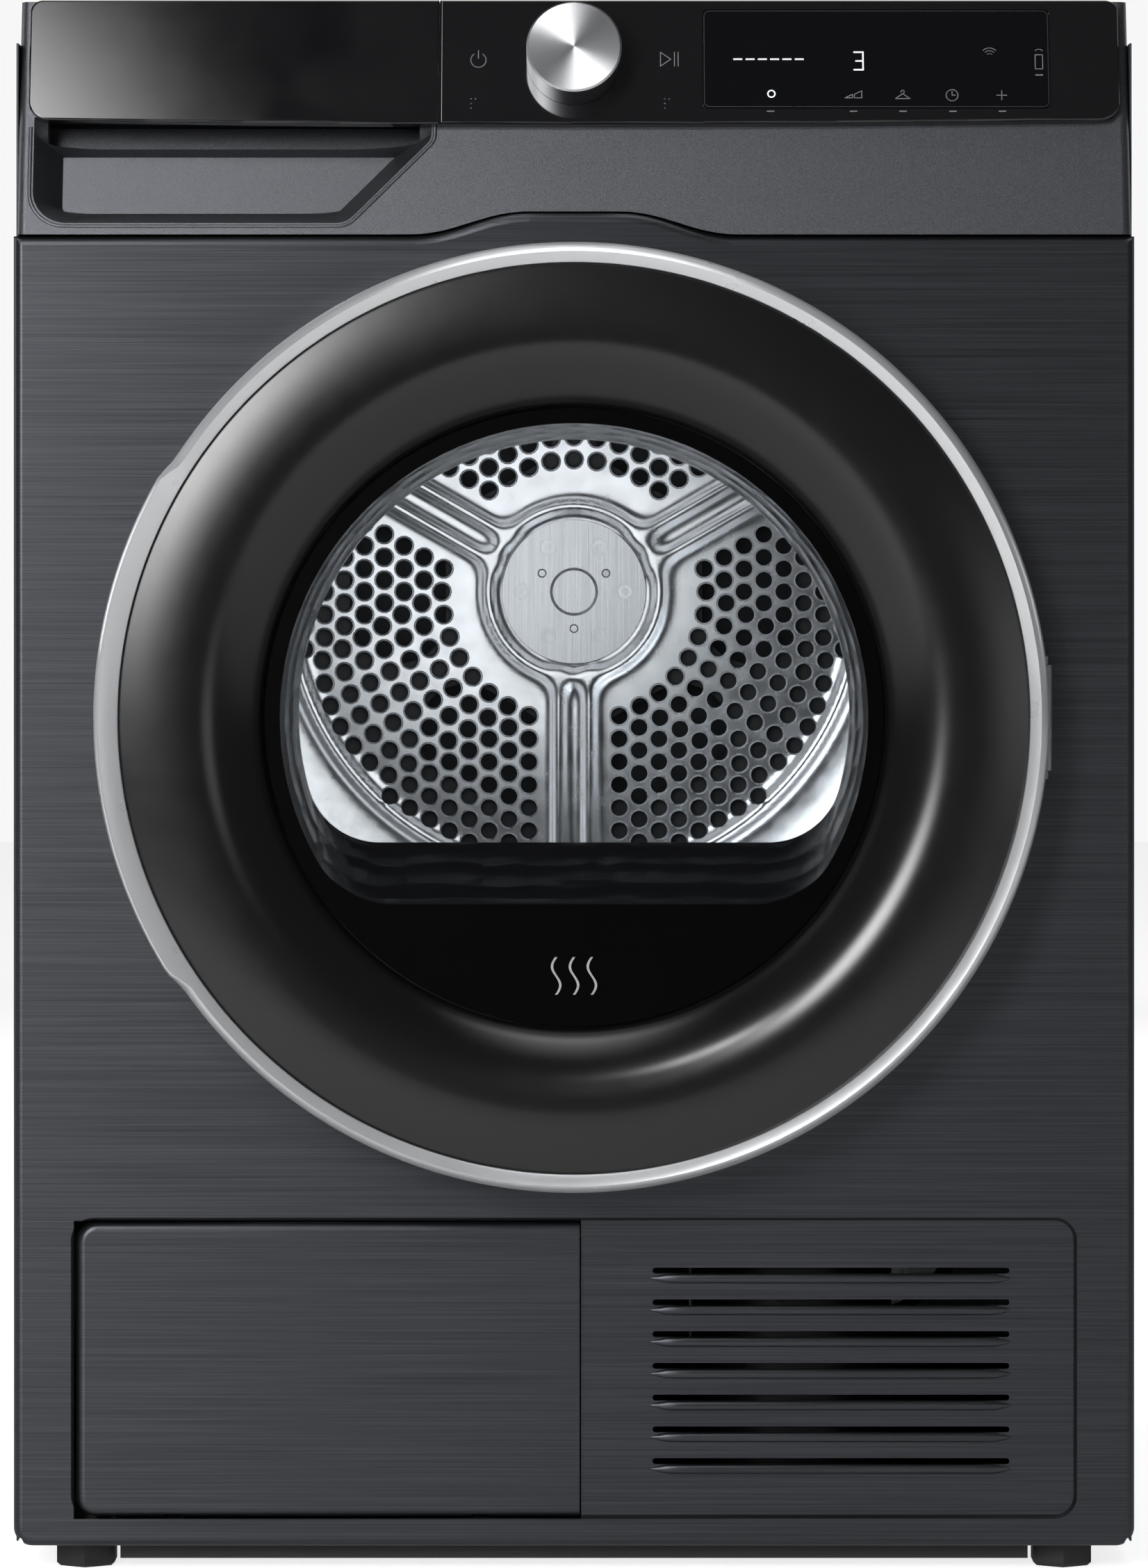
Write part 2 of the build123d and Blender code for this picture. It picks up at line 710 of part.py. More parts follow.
# Tank guide: trough under the worktop that the tank slides in, shut at the back.
guide_front = front_y + 80
with BuildPart() as tank_guide:
    with BuildSketch(facing_front(guide_front)):
        add(tank_section(2.2))
        add(tank_section(moving_gap), mode=Mode.SUBTRACT)
        with Locations((-190, tank_high + 1.4)):
            Rectangle(240, 2, mode=Mode.SUBTRACT)
    extrude(amount=-(tank_front + tank_length + 3 - guide_front))
    with BuildSketch(facing_front(tank_front + tank_length + 1)):
        add(tank_section(2.2))
    extrude(amount=-2)
tank_guide.part.label = "tank_guide"
export_step(tank_guide.part, "parts/tank_guide.step")

# Front bulkhead: plate behind the front panel with the flat-bottomed mouth and the filter pocket.
bulkhead_thickness = 4
plate_y = drum_front_y - 3.4 - bulkhead_thickness
sill_z = bowl_floor_z - 6
mouth_radius = opening_radius - 4
filter_y = plate_y - 8
filter_half_width = 98
filter_thickness = 10
filter_low = 208


def mouth_outline(grow):
    """Flat-bottomed round opening in front of the drum, grown outwards by grow."""
    with BuildSketch() as outline:
        with Locations((0, door_z)):
            Circle(mouth_radius + grow)
        with Locations((0, sill_z - grow - 200)):
            Rectangle(600, 400, mode=Mode.SUBTRACT)
    return outline.sketch


with BuildPart() as front_bulkhead:
    with BuildSketch(facing_front(plate_y)):
        with Locations((0, (205 + 808) / 2)):
            Rectangle(2 * half_width - 12, 808 - 205)
        with Locations(((neck_right + 8 - half_width) / 2, worktop_bottom)):
            Rectangle(half_width + neck_right + 8, 2 * (worktop_bottom - tank_low + 4), mode=Mode.SUBTRACT)
    extrude(amount=-bulkhead_thickness)
    with BuildSketch(facing_front(front_y + 16)):
        add(mouth_outline(3))
    extrude(amount=-(plate_y - front_y - 16))
    with BuildSketch(facing_front(filter_y - filter_thickness / 2 - 3)):
        with Locations((0, (filter_low - 4 + sill_z) / 2)):
            Rectangle(2 * filter_half_width + 6, sill_z - filter_low + 4)
    extrude(amount=-(plate_y - filter_y + filter_thickness / 2 + 3))
    with BuildSketch(facing_front(front_y + 10)):
        add(mouth_outline(0))
    extrude(amount=-100, mode=Mode.SUBTRACT)
    with BuildSketch(Plane.XY.offset(filter_low - 1)):
        with Locations((0, filter_y)):
            Rectangle(2 * filter_half_width + 1, filter_thickness + 1)
    extrude(amount=sill_z - filter_low + 2, mode=Mode.SUBTRACT)
    with BuildSketch(facing_front(filter_y)):
        with Locations((0, (filter_low + sill_z) / 2 - 4)):
            with GridLocations(13, 14, 13, 9):
                Rectangle(9, 9)
    extrude(amount=-40, mode=Mode.SUBTRACT)
front_bulkhead.part.label = "front_bulkhead"
export_step(front_bulkhead.part, "parts/front_bulkhead.step")

# Lint filter: frame with a coarse grid, standing in the sill's pocket with a grip above it.
with BuildPart() as lint_filter:
    with BuildSketch(facing_front(filter_y - filter_thickness / 2)):
        with Locations((0, (filter_low + sill_z) / 2)):
            Rectangle(2 * filter_half_width, sill_z - filter_low)
        with Locations((0, (filter_low + sill_z) / 2)):
            with GridLocations(31, 36, 6, 4):
                Rectangle(28, 32, mode=Mode.SUBTRACT)
    extrude(amount=-filter_thickness)
    with BuildSketch(facing_front(filter_y - filter_thickness / 2)):
        with Locations((0, sill_z + 2)):
            SlotOverall(120, 10)
    extrude(amount=-filter_thickness)
lint_filter.part.label = "lint_filter"
export_step(lint_filter.part, "parts/lint_filter.step")

# Support rollers under the drum's front rim, each on an axle that stands out of the bulkhead.
roller_distance = drum_radius + moving_gap + roller_radius
roller_z = drum_z - roller_distance * cos(radians(roller_angle))
roller_x = roller_distance * sin(radians(roller_angle))
axle_radius = 6
roller_y = drum_front_y + 8
roller_width = 18
for side_name, x in (("left", -roller_x), ("right", roller_x)):
    with BuildPart() as support_roller:
        with BuildSketch(facing_front(roller_y)):
            with Locations((x, roller_z)):
                Circle(roller_radius)
                Circle(axle_radius + running, mode=Mode.SUBTRACT)
        extrude(amount=-roller_width)
        chamfer(support_roller.edges().filter_by(GeomType.CIRCLE).sort_by(SortBy.RADIUS)[-2:], 1.5)
    support_roller.part.label = f"support_roller_{side_name}"
    export_step(support_roller.part, f"parts/support_roller_{side_name}.step")
with BuildPart() as roller_axles:
    with BuildSketch(facing_front(plate_y + bulkhead_thickness)):
        with Locations((-roller_x, roller_z), (roller_x, roller_z)):
            Circle(axle_radius)
    extrude(amount=-(roller_y + roller_width + 6 - plate_y - bulkhead_thickness))
roller_axles.part.label = "roller_axles"
export_step(roller_axles.part, "parts/roller_axles.step")

# Rear bulkhead with the bearing boss in the middle and the hot air inlet around it.
rear_plate_y = drum_back_y + 6
boss_length = 20
boss_radius = 30
with BuildPart() as rear_bulkhead:
    with BuildSketch(facing_front(rear_plate_y)):
        with Locations((0, (232 + 815) / 2)):
            Rectangle(2 * half_width - 12, 815 - 232)
        with Locations((0, drum_z)):
            with PolarLocations(110, 6):
                SlotOverall(90, 60, rotation=90, mode=Mode.SUBTRACT)
    extrude(amount=-2)
    with BuildSketch(facing_front(rear_plate_y)):
        with Locations((0, drum_z)):
            Circle(boss_radius)
    extrude(amount=-boss_length)
    with BuildSketch(facing_front(rear_plate_y - 1)):
        with Locations((0, drum_z)):
            Circle(shaft_radius + running)
    extrude(amount=-(boss_length + 2), mode=Mode.SUBTRACT)
rear_bulkhead.part.label = "rear_bulkhead"
export_step(rear_bulkhead.part, "parts/rear_bulkhead.step")

# Felt seals against the drum's front and back rims.
with BuildPart() as drum_seals:
    with BuildSketch(facing_front(plate_y + bulkhead_thickness)):
        with Locations((0, drum_z)):
            Circle(drum_radius - 3)
            Circle(drum_radius - 22, mode=Mode.SUBTRACT)
    extrude(amount=-(drum_front_y - moving_gap - plate_y - bulkhead_thickness))
    with BuildSketch(facing_front(rear_plate_y)):
        with Locations((0, drum_z)):
            Circle(drum_radius - 3)
            Circle(drum_radius - 16, mode=Mode.SUBTRACT)
    extrude(amount=rear_plate_y - drum_back_y - moving_gap)
drum_seals.part.label = "drum_seals"
export_step(drum_seals.part, "parts/drum_seals.step")

# Drum shell: rolled steel tube with its front rim turned in.
with BuildPart() as drum_shell:
    with BuildSketch(facing_front(drum_front_y)):
        with Locations((0, drum_z)):
            Circle(drum_radius)
            Circle(drum_radius - drum_wall, mode=Mode.SUBTRACT)
    extrude(amount=-(drum_back_y - drum_front_y))
    with BuildSketch(facing_front(drum_front_y)):
        with Locations((0, drum_z)):
            Circle(drum_radius)
            Circle(drum_radius - 24, mode=Mode.SUBTRACT)
    extrude(amount=-drum_wall)
drum_shell.part.label = "drum_shell"
export_step(drum_shell.part, "parts/drum_shell.step")


# Drum back: three perforated fields between three solid spokes. Each row of holes follows the hub
# in the middle of its field and the two spokes beside it, and every next row is one pitch further out.
def field_holes(bisector):
    """Hole centres of one perforated field, measured from the drum's axis."""
    first_row_radius = hole_pitch * 5.77
    row = []
    for angle in range(-40, 50, 10):
        row.append((first_row_radius * cos(radians(angle)), first_row_radius * sin(radians(angle))))
    for side in (1, -1):
        x, y = first_row_radius * cos(radians(40)), side * first_row_radius * sin(radians(40))
        for step in range(1, 9):
            reach = step * hole_pitch
            row.append((x + reach * cos(radians(60)), y + side * reach * sin(radians(60))))
    holes = []
    for shift in range(0, 9):
        for x, y in row:
            px, py = x + shift * hole_pitch, y
            if (px * px + py * py) ** 0.5 < field_radius:
                turn = radians(bisector)
                holes.append((px * cos(turn) - py * sin(turn), px * sin(turn) + py * cos(turn)))
    return holes


all_holes = [hole for bisector in (90, 210, 330) for hole in field_holes(bisector)]
with BuildPart() as drum_back:
    with BuildSketch(facing_front(drum_back_y - drum_wall)):
        with Locations((0, drum_z)):
            Circle(drum_radius - drum_wall)
        with Locations(*[(x, drum_z + z) for x, z in all_holes]):
            Circle(hole_radius, mode=Mode.SUBTRACT)
    extrude(amount=-drum_wall)
drum_back.part.label = "drum_back"
export_step(drum_back.part, "parts/drum_back.step")

# Lifters inside the drum, a third of a turn apart.
with BuildPart() as drum_lifters:
    with BuildSketch(facing_front(drum_front_y + 20)):
        with Locations((0, drum_z)):
            with PolarLocations(drum_radius - drum_wall - 22, 3, start_angle=30):
                Trapezoid(44, 40, 75, rotation=90)
            Circle(drum_radius - drum_wall, mode=Mode.INTERSECT)
    extrude(amount=-(drum_back_y - drum_wall - drum_front_y - 40))
drum_lifters.part.label = "drum_lifters"
export_step(drum_lifters.part, "parts/drum_lifters.step")

# Hub plate with its raised cap, the screws and rivets in it, and the drum shaft behind it.
hub_thickness = 3
hub_front = drum_back_y - drum_wall - hub_thickness
screw_circle = 32
rivet_circle = 23
with BuildPart() as hub_plate:
    with BuildSketch(facing_front(hub_front)):
        with Locations((0, drum_z)):
            Circle(hub_radius)
    extrude(amount=-hub_thickness)
    with BuildSketch(facing_front(hub_front)):
        with Locations((0, drum_z)):
            Circle(15)
    extrude(amount=3, taper=30)
    with BuildSketch(facing_front(hub_front)):
        with Locations((0, drum_z)):
            with PolarLocations(screw_circle, 6):
                Circle(5.3)
            with PolarLocations(rivet_circle, 3, start_angle=30):
                Circle(2)
    extrude(amount=-1.6, mode=Mode.SUBTRACT)
hub_plate.part.label = "hub_plate"
export_step(hub_plate.part, "parts/hub_plate.step")
with BuildPart() as hub_fasteners:
    with BuildSketch(facing_front(hub_front + 1.6)):
        with Locations((0, drum_z)):
            with PolarLocations(screw_circle, 6):
                Circle(4.4)
                Circle(2.1, mode=Mode.SUBTRACT)
    extrude(amount=1.2)
    with BuildSketch(facing_front(hub_front + 1.6)):
        with Locations((0, drum_z)):
            with PolarLocations(rivet_circle, 3, start_angle=30):
                Circle(2)
    extrude(amount=1.6)
    with BuildSketch(facing_front(hub_front)):
        with Locations((0, drum_z)):
            with PolarLocations(rivet_circle, 3, start_angle=30):
                Circle(2.8)
    extrude(amount=1.2, taper=35)
hub_fasteners.part.label = "hub_fasteners"
export_step(hub_fasteners.part, "parts/hub_fasteners.step")
with BuildPart() as drum_shaft:
    with BuildSketch(facing_front(drum_back_y)):
        with Locations((0, drum_z)):
            Circle(hub_radius)
    extrude(amount=-2)
    with BuildSketch(facing_front(drum_back_y)):
        with Locations((0, drum_z)):
            Circle(shaft_radius)
    extrude(amount=-(6 + boss_length + 4))
drum_shaft.part.label = "drum_shaft"
export_step(drum_shaft.part, "parts/drum_shaft.step")

# Drive belt: runs outside the drum and round the motor pulley, with a small gap to both.
belt_gap = 0.3


def belt_loop(drum_r, pulley_r):
    """Closed outline tangent to a circle round the drum and a circle round the motor pulley."""
    with BuildSketch() as outline:
        with Locations((0, drum_z)):
            Circle(drum_r)
        with Locations((motor_x, motor_z)):
            Circle(pulley_r)
        make_hull()
    return outline.sketch


with BuildPart() as drive_belt:
    with BuildSketch(facing_front(belt_y + 1)):
        add(belt_loop(drum_radius + belt_gap + belt_thickness, pulley_radius + belt_gap + belt_thickness))
        add(belt_loop(drum_radius + belt_gap, pulley_radius + belt_gap), mode=Mode.SUBTRACT)
    extrude(amount=-(belt_width - 2))
drive_belt.part.label = "drive_belt"
export_step(drive_belt.part, "parts/drive_belt.step")

# Motor in its cradle, and its shaft with the belt pulley in front and the fan behind.
motor_y = 105
motor_length = 100
motor_shaft_radius = 6
fan_y = motor_y + motor_length + 20
fan_width = 36
fan_radius = 62
with BuildPart() as motor_body:
    with BuildSketch(facing_front(motor_y)):
        with Locations((motor_x, motor_z)):
            Circle(motor_radius)
    extrude(amount=-motor_length)
    with BuildSketch(facing_front(motor_y - 1)):
        with Locations((motor_x, motor_z)):
            Circle(motor_shaft_radius + running)
    extrude(amount=-(motor_length + 2), mode=Mode.SUBTRACT)
motor_body.part.label = "motor_body"
export_step(motor_body.part, "parts/motor_body.step")
with BuildPart() as motor_rotor:
    with BuildSketch(facing_front(belt_y)):
        with Locations((motor_x, motor_z)):
            Circle(motor_shaft_radius)
    extrude(amount=-(fan_y + fan_width - belt_y))
    with BuildSketch(facing_front(belt_y)):
        with Locations((motor_x, motor_z)):
            Circle(pulley_radius)
    extrude(amount=-belt_width)
motor_rotor.part.label = "motor_rotor"
export_step(motor_rotor.part, "parts/motor_rotor.step")
with BuildPart() as fan_impeller:
    with BuildSketch(facing_front(fan_y)):
        with Locations((motor_x, motor_z)):
            Circle(fan_radius)
            Circle(motor_shaft_radius, mode=Mode.SUBTRACT)
    extrude(amount=-2)
    with BuildSketch(facing_front(fan_y)):
        with Locations((motor_x, motor_z)):
            Circle(14)
            Circle(motor_shaft_radius, mode=Mode.SUBTRACT)
            with PolarLocations(fan_radius - 10, 24):
                Rectangle(18, 2, rotation=30)
    extrude(amount=-fan_width)
fan_impeller.part.label = "fan_impeller"
export_step(fan_impeller.part, "parts/fan_impeller.step")

# Rear air duct: scroll round the fan that rises to the drum's hot air inlet, open towards the drum.
duct_wall = 3
duct_y = fan_y - 8
scroll_radius = fan_radius + 14
scroll_back = rear_plate_y + 20
dish_radius = 180
riser_x = motor_x - 30
riser_top = drum_z - 150
riser_bottom = motor_z + 20
dish_back = rear_sheet_y - sheet - 0.5


def dish_outline(shrink):
    """Round inlet dish with the riser below it, shrunk inwards by shrink."""
    with BuildSketch() as outline:
        with Locations((0, drum_z)):
            Circle(dish_radius - shrink)
        with Locations((riser_x, (riser_top + riser_bottom) / 2)):
            Rectangle(130 - 2 * shrink, riser_top - riser_bottom - 2 * shrink)
    return outline.sketch


with BuildPart() as rear_air_duct:
    with BuildSketch(facing_front(duct_y)):
        with Locations((motor_x, motor_z)):
            Circle(scroll_radius)
    extrude(amount=-(scroll_back - duct_y))
    with BuildSketch(facing_front(rear_plate_y + 2)):
        add(dish_outline(0))
    extrude(amount=-(dish_back - rear_plate_y - 2))
    with BuildSketch(facing_front(duct_y + duct_wall)):
        with Locations((motor_x, motor_z)):
            Circle(scroll_radius - duct_wall)
    extrude(amount=-(scroll_back - duct_y - 2 * duct_wall), mode=Mode.SUBTRACT)
    with BuildSketch(facing_front(rear_plate_y + 1 + 2 * duct_wall)):
        add(dish_outline(duct_wall))
    extrude(amount=-(dish_back - rear_plate_y - 1 - 3 * duct_wall), mode=Mode.SUBTRACT)
    with BuildSketch(facing_front(rear_plate_y + 1)):
        with Locations((0, drum_z)):
            Circle(dish_radius - duct_wall)
    extrude(amount=-20, mode=Mode.SUBTRACT)
    with BuildSketch(facing_front(duct_y - 1)):
        with Locations((motor_x, motor_z)):
            Circle(40)
    extrude(amount=-6, mode=Mode.SUBTRACT)
rear_air_duct.part.label = "rear_air_duct"
export_step(rear_air_duct.part, "parts/rear_air_duct.step")

# Belt tension arm on its post, and the idler pulley that lies against the belt's lower run.
span_x = motor_x
span_z = motor_z - drum_z
span = (span_x**2 + span_z**2) ** 0.5
normal_angle = atan2(span_z, span_x) - acos((drum_radius - pulley_radius) / span)
normal = (cos(normal_angle), sin(normal_angle))
along = (normal[1], -normal[0])
idler_reach = 78
idler_offset = pulley_radius + 2 * belt_gap + belt_thickness + idler_radius
idler_x = motor_x + idler_reach * along[0] + idler_offset * normal[0]
idler_z = motor_z + idler_reach * along[1] + idler_offset * normal[1]
idler_pin_radius = 3
arm_angle = degrees(atan2(idler_z - pivot_z, idler_x - pivot_x))
arm_length = ((idler_x - pivot_x) ** 2 + (idler_z - pivot_z) ** 2) ** 0.5
with BuildPart() as tension_arm:
    with BuildSketch(facing_front(arm_y)):
        with Locations(((idler_x + pivot_x) / 2, (idler_z + pivot_z) / 2)):
            SlotOverall(arm_length + 16, 16, rotation=arm_angle)
        with Locations((pivot_x, pivot_z)):
            Circle(4 + running, mode=Mode.SUBTRACT)
    extrude(amount=-arm_thickness)
    with BuildSketch(facing_front(belt_y)):
        with Locations((idler_x, idler_z)):
            Circle(idler_pin_radius)
    extrude(amount=-(arm_y - belt_y))
tension_arm.part.label = "tension_arm"
export_step(tension_arm.part, "parts/tension_arm.step")
with BuildPart() as idler_pulley:
    with BuildSketch(facing_front(belt_y)):
        with Locations((idler_x, idler_z)):
            Circle(idler_radius)
            Circle(idler_pin_radius + running, mode=Mode.SUBTRACT)
    extrude(amount=-belt_width)
idler_pulley.part.label = "idler_pulley"
export_step(idler_pulley.part, "parts/idler_pulley.step")

# Compressor on three rubber-lined legs, and the two refrigerant pipes to the exchanger housing.
compressor_x = 120
compressor_y = front_y + 125
compressor_radius = 56
compressor_low = foot_height + base_wall
compressor_top = 205
with BuildPart() as compressor:
    with BuildSketch(Plane.XY.offset(compressor_low + 16)):
        with Locations((compressor_x, compressor_y)):
            Circle(compressor_radius)
    extrude(amount=compressor_top - compressor_low - 16)
    fillet(compressor.edges().filter_by(GeomType.CIRCLE), 14)
    with BuildSketch(Plane.XY.offset(compressor_low + 14)):
        with Locations((compressor_x, compressor_y)):
            RegularPolygon(80, 3, rotation=90)
    extrude(amount=4)
    with BuildSketch(Plane.XY.offset(compressor_low)):
        with Locations((compressor_x, compressor_y)):
            with PolarLocations(66, 3, start_angle=90):
                Circle(9)
    extrude(amount=14)
compressor.part.label = "compressor"
export_step(compressor.part, "parts/compressor.step")
pipe_radius = 4
pipe_z = 190
with BuildPart() as refrigerant_pipes:
    for shift, height in ((-24, compressor_top + 22), (24, compressor_top + 10)):
        start = (compressor_x + shift / 2, compressor_y + shift, compressor_top)
        with BuildLine() as route:
            FilletPolyline(
                start,
                (start[0], start[1], height),
                (exchanger_right + 30, start[1], height),
                (exchanger_right + 30, start[1], pipe_z - shift),
                (exchanger_right, start[1], pipe_z - shift),
                radius=(5, 5, 5) if shift > 0 else (12, 12, 12),
            )
        with BuildSketch(Plane(start, x_dir=(1, 0, 0), z_dir=(0, 0, 1))):
            Circle(pipe_radius)
        sweep(path=route.line)
refrigerant_pipes.part.label = "refrigerant_pipes"
export_step(refrigerant_pipes.part, "parts/refrigerant_pipes.step")

# Drain pump behind the exchanger housing, and the spigot in its recess in the rear panel.
pump_x = -200
pump_y = exchanger_back + 90
with BuildPart() as drain_pump:
    with BuildSketch(Plane.XY.offset(foot_height + base_wall)):
        with Locations((pump_x, pump_y)):
            Circle(32)
    extrude(amount=58)
    with BuildSketch(Plane.XY.offset(foot_height + base_wall + 20)):
        with Locations((pump_x - 28, pump_y + 20)):
            Rectangle(30, 30)
    extrude(amount=24)
drain_pump.part.label = "drain_pump"
export_step(drain_pump.part, "parts/drain_pump.step")
spigot_radius = 9
spigot_length = 18
with BuildPart() as drain_spigot:
    with BuildSketch(facing_front(rear_y - 1)):
        with Locations((spigot_x, spigot_z)):
            Circle(spigot_radius)
            Circle(spigot_radius - 2.5, mode=Mode.SUBTRACT)
    extrude(amount=spigot_length)
    with BuildSketch(facing_front(rear_y - 1 - spigot_length)):
        with Locations((spigot_x, spigot_z)):
            Circle(26)
    extrude(amount=3)
    with BuildSketch(facing_front(rear_sheet_y - sheet)):
        with Locations((spigot_x, spigot_z)):
            Circle(26)
            Circle(20, mode=Mode.SUBTRACT)
    extrude(amount=spigot_length - 2)
drain_spigot.part.label = "drain_spigot"
export_step(drain_spigot.part, "parts/drain_spigot.step")

# Cord gland: bushing through the rear panel with the lead's bore.
with BuildPart() as cord_gland:
    with BuildSketch(facing_front(rear_y)):
        with Locations((gland_x, gland_z)):
            Circle(gland_radius)
    extrude(amount=12)
    with BuildSketch(facing_front(rear_sheet_y - sheet)):
        with Locations((gland_x, gland_z)):
            Circle(gland_radius + 4)
    extrude(amount=3)
    with BuildSketch(facing_front(rear_y + 1)):
        with Locations((gland_x, gland_z)):
            Circle(3.8)
    extrude(amount=20, mode=Mode.SUBTRACT)
cord_gland.part.label = "cord_gland"
export_step(cord_gland.part, "parts/cord_gland.step")

# Screws along the rear panel's two edges: shank through sheet and flange, cross-recessed pan head.
screw_places = [(sign * screw_x, z) for sign in (-1, 1) for z in screw_heights]
with BuildPart() as panel_screws:
    with BuildSketch(facing_front(rear_sheet_y)):
        with Locations(*screw_places):
            Circle(screw_radius)
    extrude(amount=9)
    with BuildSketch(facing_front(rear_sheet_y)):
        with Locations(*screw_places):
            Circle(4)
    extrude(amount=-1.8, taper=15)
    with BuildSketch(facing_front(rear_sheet_y + 1)):
        with Locations(*screw_places):
            Rectangle(4, 0.9)
            Rectangle(0.9, 4)
    extrude(amount=-2, mode=Mode.SUBTRACT)
panel_screws.part.label = "panel_screws"
export_step(panel_screws.part, "parts/panel_screws.step")

# Door ring: metal-faced trim, turned about the door's axis, with the grip swelling on its left.
ring_back = door_back_y
ring_wall = 3
grip_half_angle = 27
grip_swell = 3
with BuildPart() as door_ring:
    with BuildSketch(Plane.YZ):
        with BuildLine():
            Polyline(
                (ring_back, door_z + door_radius),
                (door_front_y + 15, door_z + door_radius),
                (door_front_y, door_z + ridge_radius),
                (door_front_y + 3, door_z + ring_inner_radius),
                (door_front_y + 6, door_z + ring_inner_radius),
                (door_front_y + 4, door_z + ridge_radius - ring_wall),
                (door_front_y + 17, door_z + door_radius - ring_wall),
                (ring_back, door_z + door_radius - ring_wall),
                close=True,
            )
        make_face()
    revolve(axis=Axis((0, 0, door_z), (0, 1, 0)))
    with BuildSketch(facing_front(door_front_y + 10)):
        with Locations((0, door_z)):
            Circle(door_radius + grip_swell)
            Circle(door_radius - 2, mode=Mode.SUBTRACT)
        with BuildLine():
            grip_rise = 400 * sin(radians(grip_half_angle))
            Polyline((0, door_z), (-400, door_z + grip_rise), (-400, door_z - grip_rise), close=True)
        make_face(mode=Mode.INTERSECT)
    extrude(amount=-12)
    with BuildSketch(facing_front(hinge_y - 6)):
        with Locations((hinge_x, door_z)):
            Rectangle(40, 84)
    extrude(amount=-40, mode=Mode.SUBTRACT)
door_ring.part.label = "door_ring"
export_step(door_ring.part, "parts/door_ring.step")

# Door cover: smoked annulus that dishes in from the ring to the window.
cover_front = door_front_y + 6.2
cover_back = door_front_y + 9.2
cover_middle = door_front_y + 12
cover_inner = door_z + window_radius + 0.4
cover_outer = door_z + ring_inner_radius
with BuildPart() as door_cover:
    with BuildSketch(Plane.YZ):
        with BuildLine():
            Line((cover_front, cover_outer - 0.2), (cover_back, cover_outer))
            Line((cover_back, cover_outer), (window_y + 3, cover_inner))
            Line((window_y + 3, cover_inner), (window_y - 1, cover_inner))
            ThreePointArc(
                (window_y - 1, cover_inner),
                (cover_middle, door_z + (window_radius + ring_inner_radius) / 2),
                (cover_front, cover_outer - 0.2),
            )
        make_face()
    revolve(axis=Axis((0, 0, door_z), (0, 1, 0)))
door_cover.part.label = "door_cover"
export_step(door_cover.part, "parts/door_cover.step")

# Door window: round outer pane.
with BuildPart() as door_window:
    with BuildSketch(facing_front(window_y)):
        with Locations((0, door_z)):
            Circle(window_radius)
    extrude(amount=-3)
    fillet(door_window.faces().sort_by(Axis.Y)[0].edges(), 1)
door_window.part.label = "door_window"
export_step(door_window.part, "parts/door_window.step")


def bowl_outline(radius, floor_z):
    """Round outline cut flat along the bottom, where the bowl's floor is."""
    with BuildSketch() as outline:
        with Locations((0, door_z)):
            Circle(radius)
        with Locations((0, floor_z - 200)):
            Rectangle(600, 400, mode=Mode.SUBTRACT)
        fillet(outline.vertices(), 40)
    return outline.sketch


# Door inner frame: rear shell of the door, with the flat-bottomed opening and the hinge pocket.
frame_front = window_y + 3
hook_width = 5
hook_height = 18
hook_length = 14
with BuildPart() as door_inner_frame:
    with BuildSketch(facing_front(door_back_y)):
        with Locations((0, door_z)):
            Circle(door_radius - ring_wall - 0.2)
    extrude(amount=3)
    with BuildSketch(facing_front(door_back_y - 3)):
        with Locations((0, door_z)):
            Circle(window_radius + 12)
    extrude(amount=door_back_y - 3 - frame_front)
    with BuildSketch(facing_front(frame_front - 1)):
        add(bowl_outline(bowl_front_radius + 0.5, bowl_floor_z - 0.5))
    extrude(amount=-60, mode=Mode.SUBTRACT)
    with BuildSketch(facing_front(hinge_y - 8)):
        with Locations((hinge_x - 15, door_z)):
            Rectangle(60, 66)
    extrude(amount=-40, mode=Mode.SUBTRACT)
    with BuildSketch(facing_front(door_back_y - 1)):
        with Locations((latch_x, door_z)):
            Rectangle(hook_width, hook_height)
    extrude(amount=-hook_length - 1)
door_inner_frame.part.label = "door_inner_frame"
export_step(door_inner_frame.part, "parts/door_inner_frame.step")

# Door bowl: clear moulding that reaches into the mouth and turns clothes back into the drum.
bowl_start = frame_front
bowl_end = frame_front + bowl_depth
bowl_wall = 3
with BuildPart() as door_bowl:
    with BuildSketch(facing_front(bowl_start)):
        add(bowl_outline(bowl_front_radius, bowl_floor_z))
    with BuildSketch(facing_front(bowl_end)):
        add(bowl_outline(bowl_rear_radius, bowl_floor_z + bowl_floor_rise))
    loft()
    with BuildSketch(facing_front(bowl_start - 1)):
        add(bowl_outline(bowl_front_radius - bowl_wall, bowl_floor_z + bowl_wall))
    with BuildSketch(facing_front(bowl_end - bowl_wall)):
        add(bowl_outline(bowl_rear_radius - bowl_wall, bowl_floor_z + bowl_floor_rise + bowl_wall))
    loft(mode=Mode.SUBTRACT)
door_bowl.part.label = "door_bowl"
export_step(door_bowl.part, "parts/door_bowl.step")

# Door gasket on the inner frame, just clear of the front panel.
with BuildPart() as door_gasket:
    with BuildSketch(facing_front(door_back_y)):
        with Locations((0, door_z)):
            Circle(opening_radius + 14)
            Circle(opening_radius + 5, mode=Mode.SUBTRACT)
    extrude(amount=-(front_y - door_back_y - 0.6))
door_gasket.part.label = "door_gasket"
export_step(door_gasket.part, "parts/door_gasket.step")

